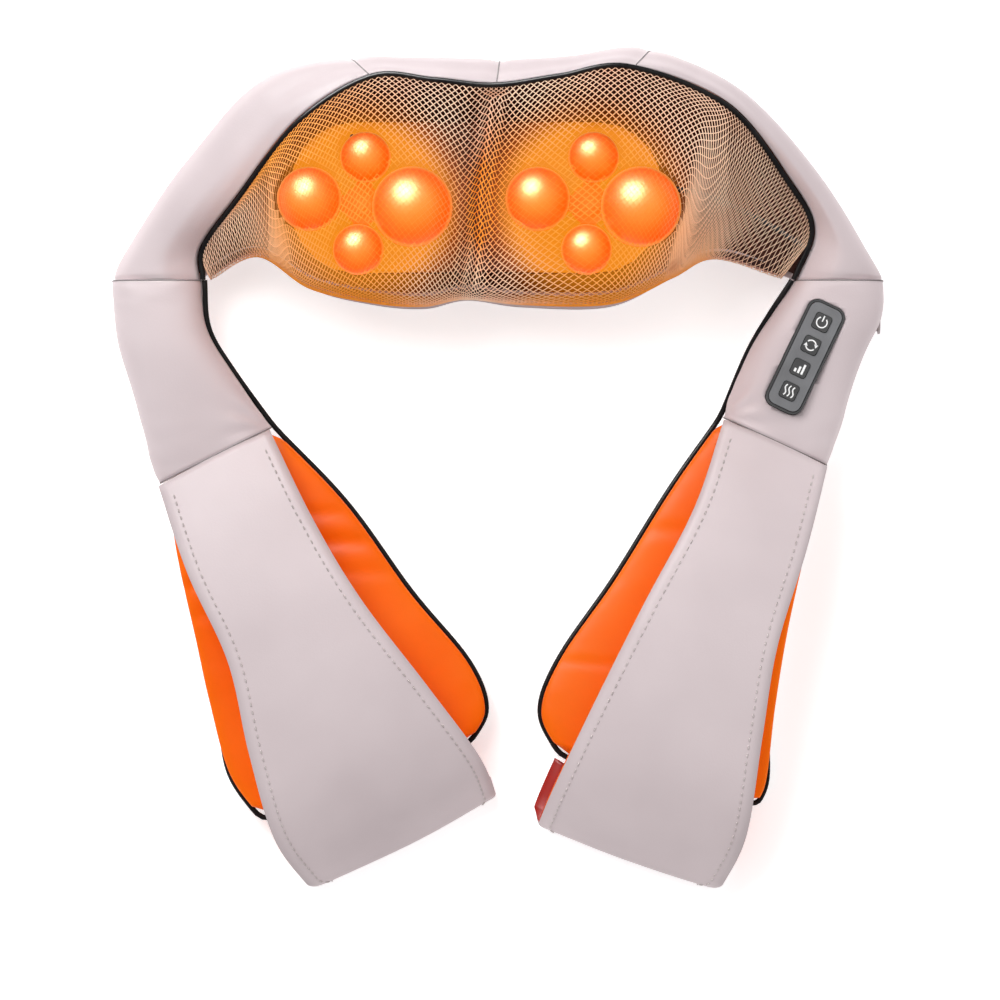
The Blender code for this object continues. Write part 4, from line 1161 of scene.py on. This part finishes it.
def add_plate(points, faces, outline, heights):
    """Adds a closed plate over an outline, between two heights, to the points and faces."""
    base, n = len(points), len(outline)
    points += [Vector((*p, z)) for z in heights for p in outline]
    faces += [tuple(range(base, base + n)), tuple(range(base + n, base + 2 * n))]
    faces += [tuple(base + i for i in face) for face in strip_faces(2, n, wrap=True)]


def make_icons(looks):
    """A raised white icon on each button, turned with the panel."""
    _, turn = panel_frame()
    for word in ("power", "direction", "intensity", "heat"):
        at, top = middle_of(f"button_{word}") / MM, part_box(f"button_{word}")[1][2] / MM
        outlines, lines = icon_shapes(word)
        for path in lines:
            left, right = flat_ribbon(path, ICON_LINE)
            outlines += [[left[k], left[k + 1], right[k + 1], right[k]] for k in range(len(path) - 1)]
        points, faces = [], []
        for outline in outlines:
            placed = [at.xy + Matrix.Rotation(turn, 2) @ p * ICON_SCALE for p in outline]
            add_plate(points, faces, placed, (top - 0.1, top + 0.07))
        icon = mesh_piece(f"icon_{word}", points, faces, looks["icon"])
        icon.data.shade_flat()
        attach(icon, f"button_{word}")


def dress_nodes(looks):
    """Procedural materials for the CAD pieces that stay, and softened edges on the controls."""
    groups = {
        "deck": ("front_housing", "heater_board", "rear_housing"),
        "carrier": ("carrier_left", "carrier_right", "carrier_nut", "output_shaft"),
        "screw": ("housing_screw",),
        "gear": ("worm_wheel",),
        "steel": ("motor",),
        "bronze": ("worm_left", "worm_right", "shaft_bush", "output_bush"),
        "board": ("control_board",),
        "panel": ("control_panel",),
        "button": ("button_", "panel_housing", "arm_lead", "collar_lead"),
        "socket": ("dc_inlet",),
    }
    for node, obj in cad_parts.items():
        if obj.hide_render:
            continue
        for look, starts in groups.items():
            if node.startswith(starts):
                obj.data.materials.clear()
                obj.data.materials.append(looks[look])
        if node.startswith(("button_", "control_panel", "panel_housing")):
            soft = obj.modifiers.new("Edges", "BEVEL")
            soft.width = 0.45 * MM
            soft.segments = 3
            soft.limit_method = "ANGLE"
            soft.angle_limit = radians(40)


# ---------------- studio

def area_light(name, at, size, power):
    """A round lamp at a place, turned towards the object."""
    light = bpy.data.lights.new(name, "AREA")
    light.shape = "DISK"
    light.size = size
    light.energy = power
    lamp = bpy.data.objects.new(name, light)
    lamp.location = at
    lamp.rotation_euler = (Vector((0, 0, 0.03)) - Vector(at)).to_track_quat("-Z", "Y").to_euler()
    bpy.context.scene.collection.objects.link(lamp)
    return lamp


def make_studio():
    """Even white surroundings, two soft lamps, and one that adds only gloss."""
    bpy.context.scene.view_settings.view_transform = "Standard"
    world = bpy.data.worlds.new("studio")
    bpy.context.scene.world = world
    world.use_nodes = True
    background = world.node_tree.nodes["Background"]
    background.inputs["Color"].default_value = (1.0, 1.0, 1.0, 1)
    background.inputs["Strength"].default_value = 0.60
    area_light("key", (-0.7, 0.75, 1.6), 0.9, 15)
    area_light("fill", (1.1, 0.5, 1.4), 1.4, 4)
    shine = area_light("shine", (-0.50, 1.15, 0.95), 1.3, 300)
    shine.visible_diffuse = False


def make_floor():
    """Pale floor just under the object, with a little light of its own so that it stays white."""
    half, below = 6, 0.0006
    corners = [(-half, -half, 0), (half, -half, 0), (half, half, 0), (-half, half, 0)]
    mesh = bpy.data.meshes.new("floor")
    mesh.from_pydata(corners, [], [(0, 1, 2, 3)])
    m = surface("pale_floor", (0.93, 0.93, 0.93), (0.95, 0.95, 0.95), (3, 2), (20, 3), (0.7, 0.85))
    m.set(Emission_Color=(1, 1, 1, 1), Emission_Strength=0.42)
    mesh.materials.append(m.material)
    floor = bpy.data.objects.new("floor", mesh)
    floor.location.z = -below
    bpy.context.scene.collection.objects.link(floor)


def make_camera():
    """Straight down on a point a little below the middle of the object, from far back."""
    low, high = CAD_BOX
    distance, seen, sensor = 3.2, 0.568, 36   # seen is the width in view, at the focus
    focus_x, below_middle, focus_z = 0.001, 0.016, 0.03
    camera = bpy.data.cameras.new("camera")
    camera.sensor_width = sensor
    camera.lens = sensor * distance / seen
    holder = bpy.data.objects.new("camera", camera)
    holder.location = (focus_x, (low[1] + high[1]) / 2 - below_middle, focus_z + distance)
    bpy.context.scene.collection.objects.link(holder)
    bpy.context.scene.camera = holder


make_camera()
make_studio()
make_floor()
looks = make_looks()
make_collar_leather(looks)
make_net(looks)
make_collar_piping(looks)
make_heads(looks)
for arm in SIDES:
    make_upper_arm(arm, looks)
    make_pads(arm, looks)
    make_strap(arm, looks)
    make_arm_piping(arm, looks)
make_icons(looks)
dress_nodes(looks)
